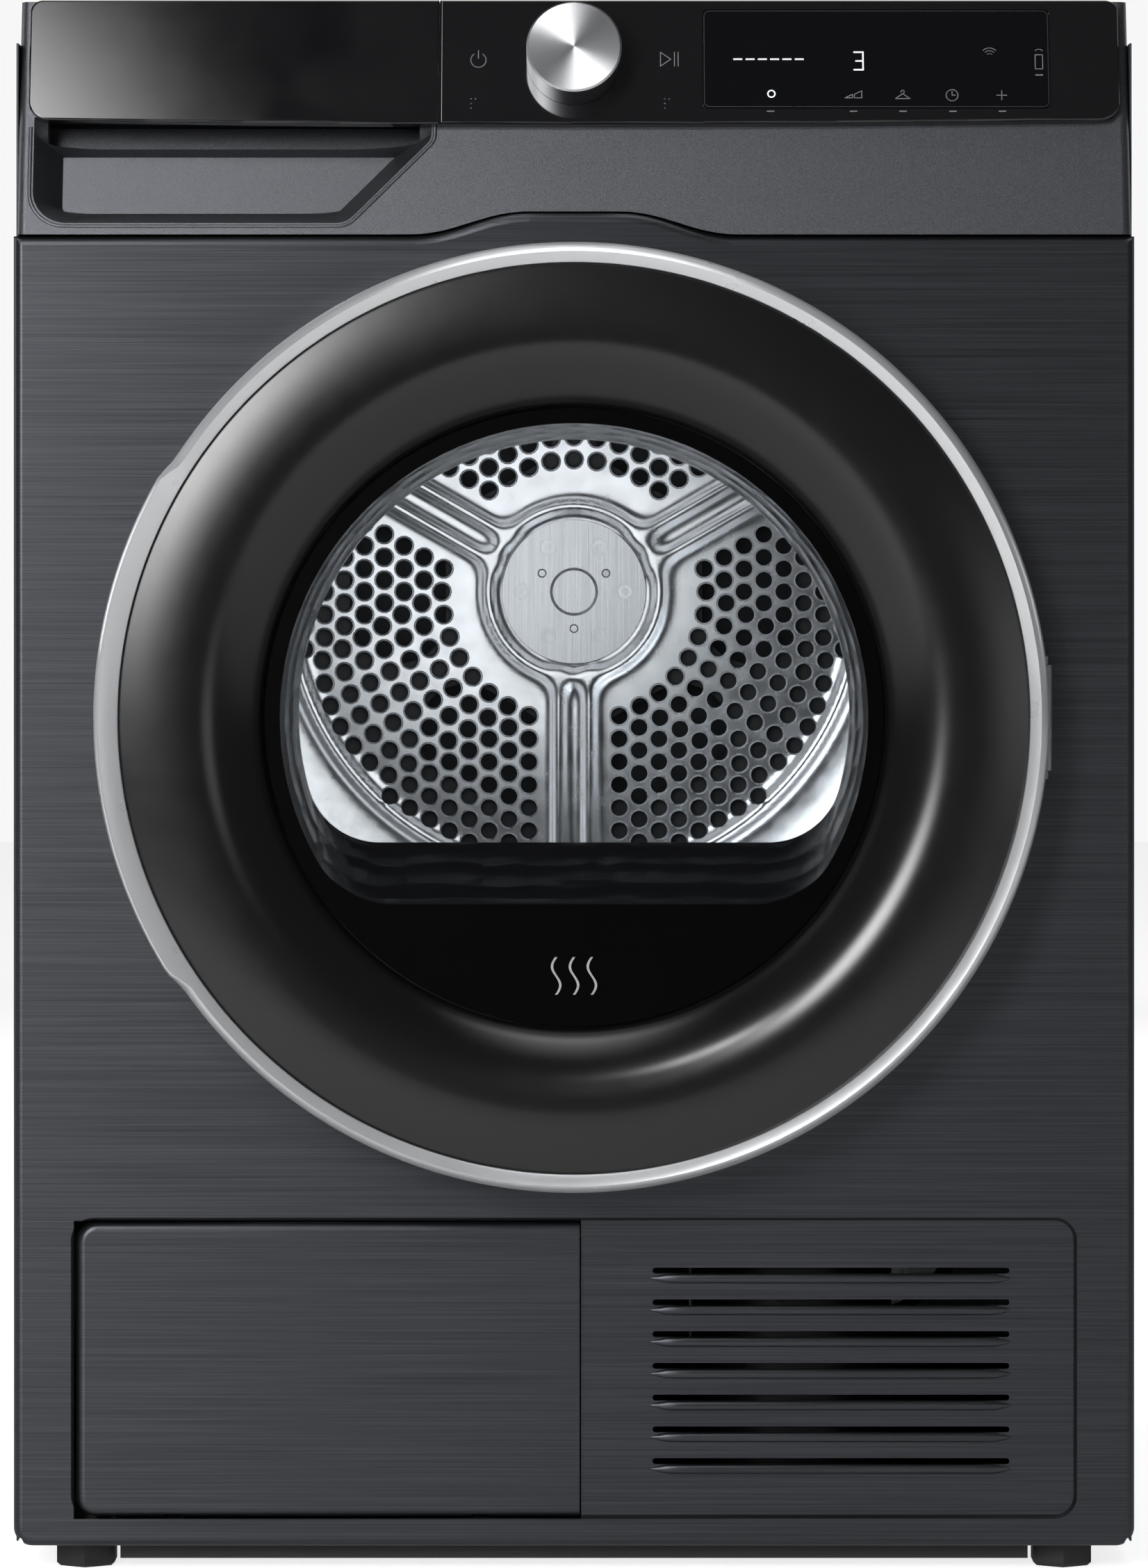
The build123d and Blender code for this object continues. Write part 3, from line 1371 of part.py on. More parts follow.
# Hinge: goose-neck bracket on the front panel, and the door's arm with two ears and the pin.
barrel_radius = 6
barrel_half = 28
neck_x = 226
with BuildPart() as hinge_bracket:
    with BuildSketch(facing_front(front_y - 2)):
        with Locations((neck_x + 2, door_z)):
            Rectangle(18, 2 * barrel_half)
    extrude(amount=-2)
    with BuildSketch(Plane.XY.offset(door_z - barrel_half)):
        with Locations((neck_x, (hinge_y - 4 + front_y) / 2)):
            Rectangle(8, front_y - hinge_y + 4)
        with Locations(((neck_x - 4 + hinge_x) / 2, hinge_y)):
            Rectangle(hinge_x - neck_x + 4, 8)
        with Locations((hinge_x, hinge_y)):
            Circle(barrel_radius)
            Circle(hinge_pin_radius + running, mode=Mode.SUBTRACT)
    extrude(amount=2 * barrel_half)
hinge_bracket.part.label = "hinge_bracket"
export_step(hinge_bracket.part, "parts/hinge_bracket.step")
ear_thickness = 4
ear_gap = 0.5
with BuildPart() as door_hinge_arm:
    for low in (door_z - barrel_half - ear_gap - ear_thickness, door_z + barrel_half + ear_gap):
        with BuildSketch(Plane.XY.offset(low)):
            with Locations((hinge_x - 18, hinge_y + 3)):
                Rectangle(36, 8)
            with Locations((hinge_x - 30, (hinge_y + door_back_y - 3) / 2)):
                Rectangle(12, door_back_y - 3 - hinge_y)
            with Locations((hinge_x, hinge_y)):
                Circle(barrel_radius - 2)
        extrude(amount=ear_thickness)
    with BuildSketch(Plane.XY.offset(door_z - barrel_half - ear_gap - ear_thickness)):
        with Locations((hinge_x, hinge_y)):
            Circle(hinge_pin_radius)
    extrude(amount=2 * (barrel_half + ear_gap + ear_thickness))
door_hinge_arm.part.label = "door_hinge_arm"
export_step(door_hinge_arm.part, "parts/door_hinge_arm.step")

# Door latch: keeper box behind the opening's left edge, open towards the door's hook.
with BuildPart() as door_latch:
    with BuildSketch(facing_front(front_y + sheet)):
        with Locations((latch_x, door_z)):
            RectangleRounded(26, 70, 4)
            RectangleRounded(latch_slot_width, latch_slot_height, 2, mode=Mode.SUBTRACT)
    extrude(amount=-22)
door_latch.part.label = "door_latch"
export_step(door_latch.part, "parts/door_latch.step")
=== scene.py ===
import bpy
import math
from mathutils import Matrix, Vector
from mathutils.geometry import delaunay_2d_cdt


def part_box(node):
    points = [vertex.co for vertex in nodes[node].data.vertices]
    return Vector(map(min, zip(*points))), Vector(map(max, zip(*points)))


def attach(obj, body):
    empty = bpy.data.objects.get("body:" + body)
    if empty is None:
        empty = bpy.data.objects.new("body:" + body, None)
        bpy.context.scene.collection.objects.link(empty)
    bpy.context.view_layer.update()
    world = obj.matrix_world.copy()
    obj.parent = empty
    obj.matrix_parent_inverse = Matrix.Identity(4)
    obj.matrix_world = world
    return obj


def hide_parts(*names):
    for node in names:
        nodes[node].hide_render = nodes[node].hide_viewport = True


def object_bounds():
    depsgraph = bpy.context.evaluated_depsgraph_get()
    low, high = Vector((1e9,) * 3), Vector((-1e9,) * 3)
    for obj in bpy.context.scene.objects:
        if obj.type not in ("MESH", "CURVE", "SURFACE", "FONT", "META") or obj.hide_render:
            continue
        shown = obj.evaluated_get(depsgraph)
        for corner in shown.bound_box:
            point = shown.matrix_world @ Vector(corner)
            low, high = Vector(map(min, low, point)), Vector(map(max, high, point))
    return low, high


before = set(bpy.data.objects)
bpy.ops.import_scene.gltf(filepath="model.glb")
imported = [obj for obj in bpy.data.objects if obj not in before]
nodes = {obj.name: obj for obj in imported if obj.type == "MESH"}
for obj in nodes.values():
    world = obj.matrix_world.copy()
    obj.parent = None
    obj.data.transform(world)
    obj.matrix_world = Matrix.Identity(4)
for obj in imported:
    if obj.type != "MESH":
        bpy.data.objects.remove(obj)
cad_low, cad_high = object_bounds()

# Studio: a pale floor, a dim room, and soft panels of light up to the left of the dryer. The panels
# fade towards their edges, so that gloss shows a gradient, and they don't show to the camera.
floor_half = 9.0
floor_front = -2.6
floor_glow = 0.16
floor_glow_seen = 0.8
room_grey = 0.07
backdrop_white = 0.93


def emission_card(name, centre, aim, width, height, strength, fade):
    """A flat light that fades from its middle to its edges, turned to face aim."""
    data = bpy.data.meshes.new(name)
    corners = [(-1, -1), (1, -1), (1, 1), (-1, 1)]
    data.from_pydata([(x * width / 2, y * height / 2, 0) for x, y in corners], [], [(0, 1, 2, 3)])
    card = bpy.data.objects.new(name, data)
    bpy.context.scene.collection.objects.link(card)
    card.location = centre
    card.rotation_euler = (Vector(aim) - Vector(centre)).to_track_quat("Z", "Y").to_euler()
    light = bpy.data.materials.new(name)
    light.use_nodes = True
    tree = light.node_tree
    tree.nodes.clear()
    place = tree.nodes.new("ShaderNodeTexCoord")
    scale = tree.nodes.new("ShaderNodeMapping")
    scale.inputs["Scale"].default_value = (2 / width, 2 / height, 1)
    length = tree.nodes.new("ShaderNodeVectorMath")
    length.operation = "LENGTH"
    ramp = tree.nodes.new("ShaderNodeMapRange")
    ramp.interpolation_type = "SMOOTHERSTEP"
    ramp.inputs["From Min"].default_value = 1.0
    ramp.inputs["From Max"].default_value = fade
    ramp.inputs["To Max"].default_value = strength
    glow = tree.nodes.new("ShaderNodeEmission")
    out = tree.nodes.new("ShaderNodeOutputMaterial")
    tree.links.new(place.outputs["Object"], scale.inputs["Vector"])
    tree.links.new(scale.outputs["Vector"], length.inputs[0])
    tree.links.new(length.outputs["Value"], ramp.inputs["Value"])
    tree.links.new(ramp.outputs["Result"], glow.inputs["Strength"])
    tree.links.new(glow.outputs["Emission"], out.inputs["Surface"])
    data.materials.append(light)
    card.visible_camera = False
    card.visible_shadow = False
    return card


emission_card("light_key", (-1.55, -3.7, 1.55), (0, -0.2, 0.6), 2.2, 2.6, 19.0, 0.1)
emission_card("light_cap", (-0.88, -2.9, 2.4), (-0.1, -0.28, 0.78), 1.25, 1.1, 17.0, 0.1)
emission_card("light_low_right", (1.5, -3.3, 0.5), (0, -0.2, 0.3), 1.7, 1.2, 1.6, 0.1)
emission_card("light_left_side", (-2.6, 0.6, 1.2), (0, 0, 0.6), 2.2, 2.2, 3.0, 0.1)
emission_card("light_right_side", (2.6, 1.4, 1.4), (0, 0, 0.6), 1.6, 2.0, 2.2, 0.1)
emission_card("light_back", (0.6, 3.4, 1.8), (0, 0, 0.6), 2.6, 2.0, 3.5, 0.1)
emission_card("light_top", (0, -0.4, 3.4), (0, 0.2, 0.8), 3.4, 2.6, 3.2, 0.1)
drum_lamp_data = bpy.data.lights.new("light_drum", "AREA")
drum_lamp_data.shape = "DISK"
drum_lamp_data.size = 0.30
drum_lamp_data.energy = 0.4
drum_lamp = bpy.data.objects.new("light_drum", drum_lamp_data)
drum_lamp.location = (-0.05, -0.19, 0.56)
drum_lamp_aim = Vector((0.02, 0.28, 0.50)) - drum_lamp.location
drum_lamp.rotation_euler = drum_lamp_aim.to_track_quat("-Z", "Y").to_euler()
drum_lamp.visible_camera = False
drum_lamp.visible_transmission = False
bpy.context.scene.collection.objects.link(drum_lamp)

floor_data = bpy.data.meshes.new("floor")
floor_corners = [
    (-floor_half, floor_front, 0),
    (floor_half, floor_front, 0),
    (floor_half, floor_half, 0),
    (-floor_half, floor_half, 0),
]
floor_data.from_pydata(floor_corners, [], [(0, 1, 2, 3)])
floor = bpy.data.objects.new("floor", floor_data)
bpy.context.scene.collection.objects.link(floor)
floor_paint = bpy.data.materials.new("floor_paint")
floor_paint.use_nodes = True
floor_shader = floor_paint.node_tree.nodes["Principled BSDF"]
floor_shader.inputs["Base Color"].default_value = (0.8, 0.8, 0.8, 1)
floor_shader.inputs["Roughness"].default_value = 0.8
floor_shader.inputs["Emission Color"].default_value = (1, 1, 1, 1)
floor_tree = floor_paint.node_tree
floor_ray = floor_tree.nodes.new("ShaderNodeLightPath")
floor_level = floor_tree.nodes.new("ShaderNodeMapRange")
floor_level.inputs["To Min"].default_value = floor_glow
floor_level.inputs["To Max"].default_value = floor_glow_seen
floor_tree.links.new(floor_ray.outputs["Is Camera Ray"], floor_level.inputs["Value"])
floor_tree.links.new(floor_level.outputs["Result"], floor_shader.inputs["Emission Strength"])
floor_data.materials.append(floor_paint)

room = bpy.data.worlds.new("room")
bpy.context.scene.world = room
room.use_nodes = True
room_tree = room.node_tree
room_light = room_tree.nodes["Background"]
room_light.inputs["Color"].default_value = (1, 1, 1, 1)
seen = room_tree.nodes.new("ShaderNodeLightPath")
level = room_tree.nodes.new("ShaderNodeMapRange")
level.inputs["To Min"].default_value = room_grey
level.inputs["To Max"].default_value = backdrop_white
room_tree.links.new(seen.outputs["Is Camera Ray"], level.inputs["Value"])
room_tree.links.new(level.outputs["Result"], room_light.inputs["Strength"])
bpy.context.scene.view_settings.view_transform = "Standard"

# Camera: level, straight in front of the door, with a small shift that frames the whole cabinet.
camera_distance = 3.3
camera_height = 0.53
framed_height = (cad_high.z - cad_low.z) * 0.9925
front_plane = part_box("front_panel")[0].y
lens_data = bpy.data.cameras.new("camera")
lens_data.sensor_fit = "VERTICAL"
lens_data.sensor_height = 36
lens_data.lens = 36 * camera_distance / framed_height
lens_data.shift_y = ((cad_high.z - 0.001) / 2 - camera_height) / framed_height
camera = bpy.data.objects.new("camera", lens_data)
camera.location = (0, front_plane - camera_distance, camera_height)
camera.rotation_euler = (math.radians(90), 0, 0)
bpy.context.scene.collection.objects.link(camera)
bpy.context.scene.camera = camera


# Cabinet sheets: side panels, worktop and base. Graphite paint over sheet steel with a fine orange
# peel, and a textured dark moulding for the base, plinth and feet.
def new_finish(name, colour, metallic, roughness):
    """A fresh material and its shader node."""
    made = bpy.data.materials.new(name)
    made.use_nodes = True
    shader = made.node_tree.nodes["Principled BSDF"]
    shader.inputs["Base Color"].default_value = (*colour, 1)
    shader.inputs["Metallic"].default_value = metallic
    shader.inputs["Roughness"].default_value = roughness
    return made, shader


def grain(made, shader, scale, spread, bump, colours=None, detail=4.0):
    """Streaks or specks from stretched noise: they vary the roughness, the height and the colour."""
    tree = made.node_tree
    place = tree.nodes.new("ShaderNodeTexCoord")
    stretch = tree.nodes.new("ShaderNodeMapping")
    stretch.inputs["Scale"].default_value = scale
    noise = tree.nodes.new("ShaderNodeTexNoise")
    noise.inputs["Scale"].default_value = 1.0
    noise.inputs["Detail"].default_value = detail
    tree.links.new(place.outputs["Object"], stretch.inputs["Vector"])
    tree.links.new(stretch.outputs["Vector"], noise.inputs["Vector"])
    base = shader.inputs["Roughness"].default_value
    rough = tree.nodes.new("ShaderNodeMapRange")
    rough.inputs["From Min"].default_value = 0.3
    rough.inputs["From Max"].default_value = 0.7
    rough.inputs["To Min"].default_value = base - spread
    rough.inputs["To Max"].default_value = base + spread
    tree.links.new(noise.outputs["Fac"], rough.inputs["Value"])
    tree.links.new(rough.outputs["Result"], shader.inputs["Roughness"])
    if bump:
        height = tree.nodes.new("ShaderNodeBump")
        height.inputs["Strength"].default_value = bump
        height.inputs["Distance"].default_value = 0.0002
        tree.links.new(noise.outputs["Fac"], height.inputs["Height"])
        tree.links.new(height.outputs["Normal"], shader.inputs["Normal"])
    if colours:
        tint = tree.nodes.new("ShaderNodeValToRGB")
        tint.color_ramp.elements[0].position = 0.32
        tint.color_ramp.elements[0].color = (*colours[0], 1)
        tint.color_ramp.elements[1].position = 0.68
        tint.color_ramp.elements[1].color = (*colours[1], 1)
        tree.links.new(noise.outputs["Fac"], tint.inputs["Fac"])
        tree.links.new(tint.outputs["Color"], shader.inputs["Base Color"])
    return made


def dress(made, *names):
    """Gives CAD nodes this finish in all their slots."""
    for name in names:
        node = nodes[name]
        if not node.material_slots:
            node.data.materials.append(made)
        for place in node.material_slots:
            place.material = made


side_paint, shader = new_finish("side_paint", (0.05, 0.053, 0.06), 0.35, 0.42)
grain(side_paint, shader, (900, 900, 900), 0.05, 0.25, ((0.045, 0.048, 0.055), (0.056, 0.06, 0.067)))
dress(side_paint, "left_side_panel", "right_side_panel")
worktop_finish, shader = new_finish("worktop_finish", (0.045, 0.048, 0.054), 0.2, 0.5)
grain(worktop_finish, shader, (1400, 1400, 1400), 0.06, 0.4, ((0.038, 0.041, 0.047), (0.055, 0.058, 0.065)))
dress(worktop_finish, "top_panel")
dark_moulding, shader = new_finish("dark_moulding", (0.018, 0.018, 0.02), 0.0, 0.55)
grain(dark_moulding, shader, (1800, 1800, 1800), 0.07, 0.5)
foot_names = [name for name in nodes if name.startswith("foot_")]
dress(dark_moulding, "base_frame", "drain_spigot", "cord_gland", "door_latch", "drain_pump", *foot_names)
dress(dark_moulding, "fan_impeller", "idler_pulley", "door_inner_frame")

# Inner works: galvanised sheet, grey mouldings, rubber, felt, copper and bare steel, each with the
# grain that its making leaves. They show at the back, through the vents and when the door is open.
galvanised, shader = new_finish("galvanised", (0.5, 0.52, 0.55), 0.9, 0.42)
grain(galvanised, shader, (90, 90, 90), 0.08, 0.05, ((0.46, 0.48, 0.51), (0.56, 0.58, 0.61)), detail=8.0)
dress(galvanised, "rear_panel")
duct_steel, shader = new_finish("duct_steel", (0.06, 0.062, 0.066), 0.7, 0.5)
grain(duct_steel, shader, (60, 60, 60), 0.1, 0.05, ((0.03, 0.031, 0.034), (0.07, 0.072, 0.076)), detail=8.0)
dress(duct_steel, "rear_bulkhead", "rear_air_duct")
grey_moulding, shader = new_finish("grey_moulding", (0.16, 0.165, 0.175), 0.0, 0.5)
grain(grey_moulding, shader, (1500, 1500, 1500), 0.06, 0.35)
dress(grey_moulding, "heat_exchanger_housing", "tank_guide", "inner_cover", "drum_lifters")
mouth_moulding, shader = new_finish("mouth_moulding", (0.03, 0.031, 0.034), 0.0, 0.4)
grain(mouth_moulding, shader, (1500, 1500, 1500), 0.06, 0.3)
dress(mouth_moulding, "front_bulkhead")
rubber, shader = new_finish("rubber", (0.014, 0.014, 0.015), 0.0, 0.7)
grain(rubber, shader, (700, 700, 700), 0.08, 0.4)
dress(rubber, "drive_belt", "door_gasket", "support_roller_left", "support_roller_right")
felt, shader = new_finish("felt", (0.42, 0.4, 0.36), 0.0, 0.95)
shader.inputs["Sheen Weight"].default_value = 0.5
grain(felt, shader, (900, 900, 900), 0.04, 1.0, ((0.36, 0.34, 0.3), (0.5, 0.47, 0.42)))
dress(felt, "drum_seals")
machined, shader = new_finish("machined_steel", (0.55, 0.56, 0.58), 1.0, 0.3)
grain(machined, shader, (30, 2600, 30), 0.08, 0.1)
dress(machined, "roller_axles", "panel_screws", "hub_fasteners", "drum_shaft", "motor_rotor", "motor_body")
dress(machined, "hinge_bracket", "door_hinge_arm", "tension_arm")
fins, shader = new_finish("fin_aluminium", (0.7, 0.71, 0.73), 1.0, 0.4)
grain(fins, shader, (1200, 30, 30), 0.1, 0.3)
dress(fins, "evaporator", "condenser")
compressor_paint, shader = new_finish("compressor_paint", (0.012, 0.012, 0.013), 0.0, 0.35)
grain(compressor_paint, shader, (300, 300, 300), 0.06, 0.3)
dress(compressor_paint, "compressor")
copper, shader = new_finish("copper", (0.72, 0.36, 0.2), 1.0, 0.3)
grain(copper, shader, (120, 120, 120), 0.1, 0.05, ((0.6, 0.28, 0.15), (0.78, 0.42, 0.25)))
dress(copper, "refrigerant_pipes")
board_green, shader = new_finish("board_green", (0.02, 0.12, 0.05), 0.0, 0.35)
grain(board_green, shader, (250, 250, 250), 0.1, 0.2)
dress(board_green, "control_board")
tank_moulding, shader = new_finish("tank_moulding", (0.45, 0.48, 0.5), 0.0, 0.35)
grain(tank_moulding, shader, (500, 500, 500), 0.05, 0.15)
dress(tank_moulding, "water_tank")
touch_blue, shader = new_finish("touch_blue", (0.05, 0.12, 0.28), 0.0, 0.4)
grain(touch_blue, shader, (1400, 1400, 1400), 0.05, 0.3)
dress(touch_blue, "cover_lock_left", "cover_lock_right", "lint_filter")

# Front panel and service flap: steel pressing, brushed from side to side under a dark clear coat.
# The brushing is drawn as long streaks along X that differ from line to line.
brushed_front, shader = new_finish("brushed_front", (0.06, 0.063, 0.07), 0.9, 0.37)
shader.inputs["Anisotropic"].default_value = 0.55
shader.inputs["Anisotropic Rotation"].default_value = 0.25
front_tones = ((0.046, 0.048, 0.054), (0.074, 0.077, 0.085))
grain(brushed_front, shader, (7, 300, 1700), 0.04, 0.05, front_tones, detail=5.0)
dress(brushed_front, "front_panel", "service_flap")

# Console body: moulding in graphite metallic lacquer, with fine bright flakes in the colour.
console_lacquer, shader = new_finish("console_lacquer", (0.09, 0.093, 0.103), 0.8, 0.4)
flake_tones = ((0.06, 0.062, 0.07), (0.14, 0.145, 0.158))
grain(console_lacquer, shader, (2600, 2600, 2600), 0.08, 0.25, flake_tones, detail=1.0)
dress(console_lacquer, "console_body")

# Cap, drawer front and display lens: piano-black gloss mouldings.
gloss_black, shader = new_finish("gloss_black", (0.006, 0.006, 0.007), 0.0, 0.09)
shader.inputs["Coat Weight"].default_value = 0.6
grain(gloss_black, shader, (40, 40, 40), 0.02, 0.0)
dress(gloss_black, "console_cap", "drawer_front")
lens_black, shader = new_finish("lens_black", (0.003, 0.003, 0.004), 0.0, 0.05)
grain(lens_black, shader, (60, 60, 60), 0.015, 0.0)
dress(lens_black, "display_window")

# Drum back: pressed stainless sheet with three perforated fields, a ring round the hub and three
# double-ribbed spokes, a bead round the fields and a curved wall that runs out to the drum shell.
drum_centre = Vector((0, 0.524))
back_plane = 0.2738
sheet_radius = 0.2856
bead_radius = 0.1785
hole_radius = 0.0052
hole_pitch = 0.0143
field_radius = 0.172
hub_ring_radius = 0.0536
spoke_offset = 0.0095
rib_height = 0.0034
rib_half_width = 0.0042
rib_blend = 0.012
wall_depth = 0.030
wall_start = 0.1925
wall_sides = 144
wall_rings = 14
field_bead_rise = 0.0040
field_bead_width = 0.0048
net_reach = 0.190
net_step = 0.0027
map_cell = 0.02


def piece(name, points, faces, made, body, crease=35):
    """A finished mesh that rides on a body, shaded smooth up to the crease angle."""
    data = bpy.data.meshes.new(name)
    data.from_pydata(points, [], faces)
    data.materials.append(made)
    data.shade_smooth()
    data.set_sharp_from_angle(angle=math.radians(crease))
    finished = bpy.data.objects.new(name, data)
    bpy.context.scene.collection.objects.link(finished)
    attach(finished, body)
    return finished


def field_holes(bisector):
    """Hole centres of one field: each row is one pitch further out along the field's middle line."""
    first = hole_pitch * 5.77
    row = []
    for angle in range(-40, 50, 10):
        row.append((first * math.cos(math.radians(angle)), first * math.sin(math.radians(angle))))
    for side in (1, -1):
        x, y = first * math.cos(math.radians(40)), side * first * math.sin(math.radians(40))
        for step in range(1, 9):
            rise = step * hole_pitch * math.sin(math.radians(60))
            row.append((x + step * hole_pitch / 2, y + side * rise))
    turn = Matrix.Rotation(math.radians(bisector), 2)
    found = [Vector((x + shift * hole_pitch, y)) for shift in range(9) for x, y in row]
    return [turn @ place for place in found if place.length < field_radius]


def smooth_min(first, second):
    """The nearer of two distances, rounded where they meet so that ribs join in fillets."""
    overlap = max(rib_blend - abs(first - second), 0) / rib_blend
    return min(first, second) - overlap * overlap * rib_blend / 4


def pressed_height(place):
    """How far the sheet is pressed towards the front at a place measured from the drum's axis."""
    radius = place.length
    near = abs(radius - hub_ring_radius)
    for angle in (-90, 30, 150):
        along = place.x * math.cos(math.radians(angle)) + place.y * math.sin(math.radians(angle))
        across = abs(place.y * math.cos(math.radians(angle)) - place.x * math.sin(math.radians(angle)))
        start = max(hub_ring_radius - along, 0)
        near = smooth_min(near, math.hypot(across - spoke_offset, start))
    fade = min(max((bead_radius - radius) / 0.008, 0), 1)
    rib = rib_height * math.exp(-((max(near, 0) / rib_half_width) ** 2)) * fade
    bead = field_bead_rise * math.exp(-(((radius - bead_radius) / field_bead_width) ** 2))
    out = min(max((radius - bead_radius) / (sheet_radius - bead_radius), 0), 1)
    return rib + bead + wall_depth * (1 - math.cos(out * math.pi / 2))


holes = [place for bisector in (90, 210, 330) for place in field_holes(bisector)]
net = []
edges = []
hole_sides = 16
for place in holes:
    first = len(net)
    for side in range(hole_sides):
        angle = 2 * math.pi * side / hole_sides
        net.append(place + hole_radius * Vector((math.cos(angle), math.sin(angle))))
        edges.append((first + side, first + (side + 1) % hole_sides))
hole_map = {}
for place in holes:
    cell = (round(place.x / map_cell), round(place.y / map_cell))
    for near_x in (-1, 0, 1):
        for near_y in (-1, 0, 1):
            hole_map.setdefault((cell[0] + near_x, cell[1] + near_y), []).append(place)


def in_hole(place, margin):
    """Whether a place lies inside a hole widened by the margin."""
    cell = (round(place.x / map_cell), round(place.y / map_cell))
    return any((place - hole).length < hole_radius + margin for hole in hole_map.get(cell, ()))


net_count = int((net_reach + 0.002) / net_step)
for column in range(-net_count, net_count + 1):
    for line in range(-net_count, net_count + 1):
        place = Vector((column * net_step, line * net_step + (column % 2) * net_step / 2))
        if place.length < net_reach and not in_hole(place, net_step * 0.35):
            net.append(place)
for ring in range(wall_rings + 1):
    radius = wall_start + (sheet_radius - wall_start) * ring / wall_rings
    for side in range(wall_sides):
        angle = 2 * math.pi * side / wall_sides
        net.append(radius * Vector((math.cos(angle), math.sin(angle))))
net_points, net_edges, triangles, *_ = delaunay_2d_cdt(net, edges, [], 0, 1e-7)
kept = []
for triangle in triangles:
    middle = (net_points[triangle[0]] + net_points[triangle[1]] + net_points[triangle[2]]) / 3
    if not in_hole(middle, -0.0002):
        kept.append(tuple(triangle))
surface = []
for place in net_points:
    height = pressed_height(place)
    surface.append((place.x + drum_centre.x, back_plane - height, place.y + drum_centre.y))
drum_steel, shader = new_finish("drum_steel", (0.72, 0.73, 0.75), 1.0, 0.24)
grain(drum_steel, shader, (70, 70, 70), 0.05, 0.04)
back_sheet = piece("drum_back_sheet", surface, kept, drum_steel, "drum", 60)
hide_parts("drum_back")
dress(drum_steel, "drum_shell")

# Collars: the punch turns the rim of every hole forward into a small rounded collar. One collar is
# drawn once and copied to all hole centres with Geometry Nodes, then made into one plain mesh.
collar_height = 0.0011
collar_width = 0.0011
collar_sides = 14


def repeat_on(name, places, pattern, made, size):
    """Copies a pattern mesh to every place with Geometry Nodes and returns one plain object."""
    data = bpy.data.meshes.new(name)
    data.from_pydata(places, [], [])
    host = bpy.data.objects.new(name, data)
    bpy.context.scene.collection.objects.link(host)
    drawn = bpy.data.objects.new(name + "_pattern", pattern)
    bpy.context.scene.collection.objects.link(drawn)
    group = bpy.data.node_groups.new(name, "GeometryNodeTree")
    group.interface.new_socket("Geometry", in_out="INPUT", socket_type="NodeSocketGeometry")
    size_input = group.interface.new_socket("Size", in_out="INPUT", socket_type="NodeSocketFloat")
    group.interface.new_socket("Geometry", in_out="OUTPUT", socket_type="NodeSocketGeometry")
    start = group.nodes.new("NodeGroupInput")
    source = group.nodes.new("GeometryNodeObjectInfo")
    source.inputs["Object"].default_value = drawn
    copy = group.nodes.new("GeometryNodeInstanceOnPoints")
    whole = group.nodes.new("GeometryNodeRealizeInstances")
    paint = group.nodes.new("GeometryNodeSetMaterial")
    paint.inputs["Material"].default_value = made
    end = group.nodes.new("NodeGroupOutput")
    group.links.new(start.outputs["Geometry"], copy.inputs["Points"])
    group.links.new(start.outputs["Size"], copy.inputs["Scale"])
    group.links.new(source.outputs["Geometry"], copy.inputs["Instance"])
    group.links.new(copy.outputs["Instances"], whole.inputs["Geometry"])
    group.links.new(whole.outputs["Geometry"], paint.inputs["Geometry"])
    group.links.new(paint.outputs["Geometry"], end.inputs["Geometry"])
    modifier = host.modifiers.new(name, "NODES")
    modifier.node_group = group
    modifier[size_input.identifier] = size
    evaluated = host.evaluated_get(bpy.context.evaluated_depsgraph_get())
    plain = bpy.data.meshes.new_from_object(evaluated)
    host.modifiers.remove(modifier)
    host.data = plain
    bpy.data.objects.remove(drawn)
    plain.shade_smooth()
    plain.set_sharp_from_angle(angle=math.radians(50))
    return host


collar_profile = [
    (0, hole_radius + 1.1 * collar_width),
    (-0.75 * collar_height, hole_radius + 0.75 * collar_width),
    (-collar_height, hole_radius + 0.2 * collar_width),
    (-0.6 * collar_height, hole_radius - 0.2 * collar_width),
    (0.0016, hole_radius - 0.25 * collar_width),
]
collar_points = []
collar_faces = []
for side in range(collar_sides):
    angle = 2 * math.pi * side / collar_sides
    for depth, radius in collar_profile:
        collar_points.append((radius * math.cos(angle), depth, radius * math.sin(angle)))
    for step in range(len(collar_profile) - 1):
        here = side * len(collar_profile) + step
        there = (side + 1) % collar_sides * len(collar_profile) + step
        collar_faces.append((here, here + 1, there + 1, there))
collar = bpy.data.meshes.new("collar")
collar.from_pydata(collar_points, [], collar_faces)
collar_places = []
for place in holes:
    collar_places.append((place.x, back_plane - pressed_height(place), place.y + drum_centre.y))
collars = repeat_on("drum_back_collars", collar_places, collar, drum_steel, 1.0)
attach(collars, "drum")

# Hub plate: thick steel disc, brushed up and down, held by six screws and three rivets.
hub_brushed, shader = new_finish("hub_brushed", (0.62, 0.63, 0.65), 1.0, 0.32)
grain(hub_brushed, shader, (1800, 40, 12), 0.1, 0.1, ((0.5, 0.51, 0.53), (0.7, 0.71, 0.73)))
dress(hub_brushed, "hub_plate")

# Door bowl and window: the bowl is pressed glass with a clear rear pane, walls that look black from
# the front, and a patterned floor. The round pane in front carries a black print round a D-shaped
# clear part.
bowl_rear = -0.2338
print_plane = -0.29565
print_outer = 0.1646
print_inner = 0.1565
print_floor = 0.3585
print_corner = 0.046
door_centre_z = 0.458


